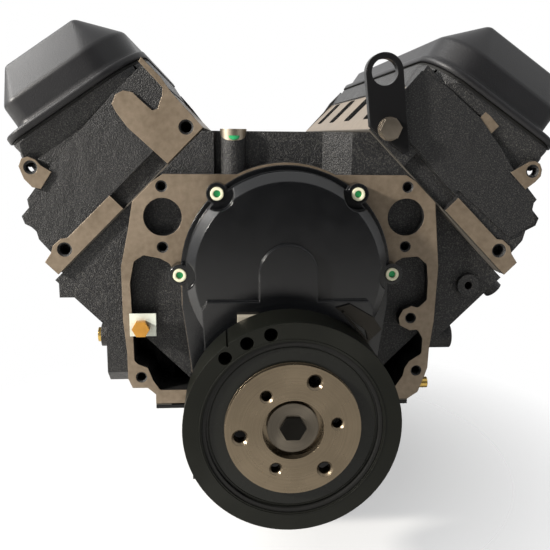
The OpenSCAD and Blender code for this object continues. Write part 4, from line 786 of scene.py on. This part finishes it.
class LONGBLOCK_OT_studio(bpy.types.Operator):
    """Floor, lamps, world and camera"""

    bl_idname = "longblock.studio"
    bl_label = "Studio"

    def execute(self, context):
        props = context.scene.studio
        scene = context.scene
        mat, tree, shader, place = start("pale_studio_floor")
        cloud = noise(tree, place, size=1 / 3, detail=2.0)
        tone = spread(tree, cloud, to=(0.98, 1.02))
        wire(tree, shader, Base_Color=shaded(tree, tuple(props.floor), tone), Roughness=0.8)
        # The camera sees the floor fade into the white background away from the engine
        reach = measure(tree, "DISTANCE", place, (MIDDLE[0], MIDDLE[1], FLOOR_Z))
        unseen(tree, shader, spread(tree, reach, to=(0.5, 1.0), found=(0.2, 0.55)))
        screen("studio_floor", mat, (0, 0, FLOOR_Z - FLOOR_GAP), FLOOR_HALF)

        soft_box("key_lamp", (-2.5, -1.6, 1.35), 0.3, props.key, (1.0, 0.955, 0.89))
        soft_box("left_soft_box", (-2.3, 0.0, 2.05), 1.3, props.sky, (1.0, 0.99, 0.97))
        soft_box("front_fill", (1.4, -2.3, 1.0), 1.6, props.fill, (0.95, 0.97, 1.0))
        # Hidden from the camera, this dark sheet keeps light and reflections off the front
        dark, tree, shader, _ = start("black_velvet")
        wire(
            tree, shader,
            Base_Color=linear("#0A0A0B"), Roughness=0.95, Specular_IOR_Level=0.0,
        )
        unseen(tree, shader, 1.0)
        screen("black_flag", dark, FLAG_AT, FLAG_HALF, math.pi / 2)

        # A white background for the camera and for reflections, and a dim sky for the rest
        world = bpy.data.worlds.new("studio_world")
        scene.world = world
        world.use_nodes = True
        sky = world.node_tree
        sky.nodes.clear()
        rays = add(sky, "ShaderNodeLightPath").outputs
        seen = maths(sky, "MAXIMUM", rays["Is Camera Ray"], rays["Is Transmission Ray"])
        seen = maths(sky, "MAXIMUM", seen, rays["Is Glossy Ray"])
        dim = add(sky, "ShaderNodeBackground", {"Color": linear("#C9CDD3"), "Strength": 0.25})
        white = add(sky, "ShaderNodeBackground", {"Color": (1.0, 1.0, 1.0), "Strength": 1.0})
        both = add(sky, "ShaderNodeMixShader", {0: seen, 1: dim.outputs[0], 2: white.outputs[0]})
        add(sky, "ShaderNodeOutputWorld", {"Surface": both.outputs[0]})

        eye = bpy.data.cameras.new("photo_camera")
        eye.sensor_fit = "HORIZONTAL"
        eye.sensor_width = SENSOR_WIDTH
        eye.lens = props.focal
        eye.clip_end = CAMERA_REACH
        camera = bpy.data.objects.new("photo_camera", eye)
        camera.location = CAMERA_AT
        aim = Vector(CAMERA_AIM).normalized().to_track_quat("-Z", "Y").to_matrix()
        camera.rotation_euler = (aim @ Matrix.Rotation(CAMERA_ROLL, 3, "Z")).to_euler()
        scene.collection.objects.link(camera)
        scene.camera = camera
        scene.view_settings.view_transform = "Standard"
        return {"FINISHED"}


class LONGBLOCK_PT_panel(bpy.types.Panel):
    """Lists the finishes and the studio"""

    bl_label = "Long Block"
    bl_idname = "LONGBLOCK_PT_panel"
    bl_space_type = "VIEW_3D"
    bl_region_type = "UI"
    bl_category = "Long Block"

    def draw(self, context):
        for name, group, operator in GROUPS:
            box = self.layout.box()
            box.operator(operator.bl_idname)
            for field in group.__annotations__:
                box.prop(getattr(context.scene, name), field)


GROUPS = (
    ("castings", CastingFinish, LONGBLOCK_OT_castings),
    ("covers", CoverFinish, LONGBLOCK_OT_covers),
    ("balancer", BalancerFinish, LONGBLOCK_OT_balancer),
    ("metals", MetalFinish, LONGBLOCK_OT_metals),
    ("studio", StudioSettings, LONGBLOCK_OT_studio),
)
CLASSES = (
    CastingFinish, CoverFinish, BalancerFinish, MetalFinish, StudioSettings,
    LONGBLOCK_OT_castings, LONGBLOCK_OT_covers, LONGBLOCK_OT_balancer,
    LONGBLOCK_OT_metals, LONGBLOCK_OT_studio, LONGBLOCK_PT_panel,
)


def register():
    for cls in CLASSES:
        bpy.utils.register_class(cls)
    for name, group, _ in GROUPS:
        setattr(bpy.types.Scene, name, PointerProperty(type=group))


def unregister():
    for name, _, _ in GROUPS:
        delattr(bpy.types.Scene, name)
    for cls in reversed(CLASSES):
        bpy.utils.unregister_class(cls)


def main():
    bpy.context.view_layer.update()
    register()
    bpy.ops.longblock.castings()
    bpy.ops.longblock.covers()
    bpy.ops.longblock.balancer()
    bpy.ops.longblock.metals()
    bpy.ops.longblock.studio()


if __name__ == "__main__":
    main()
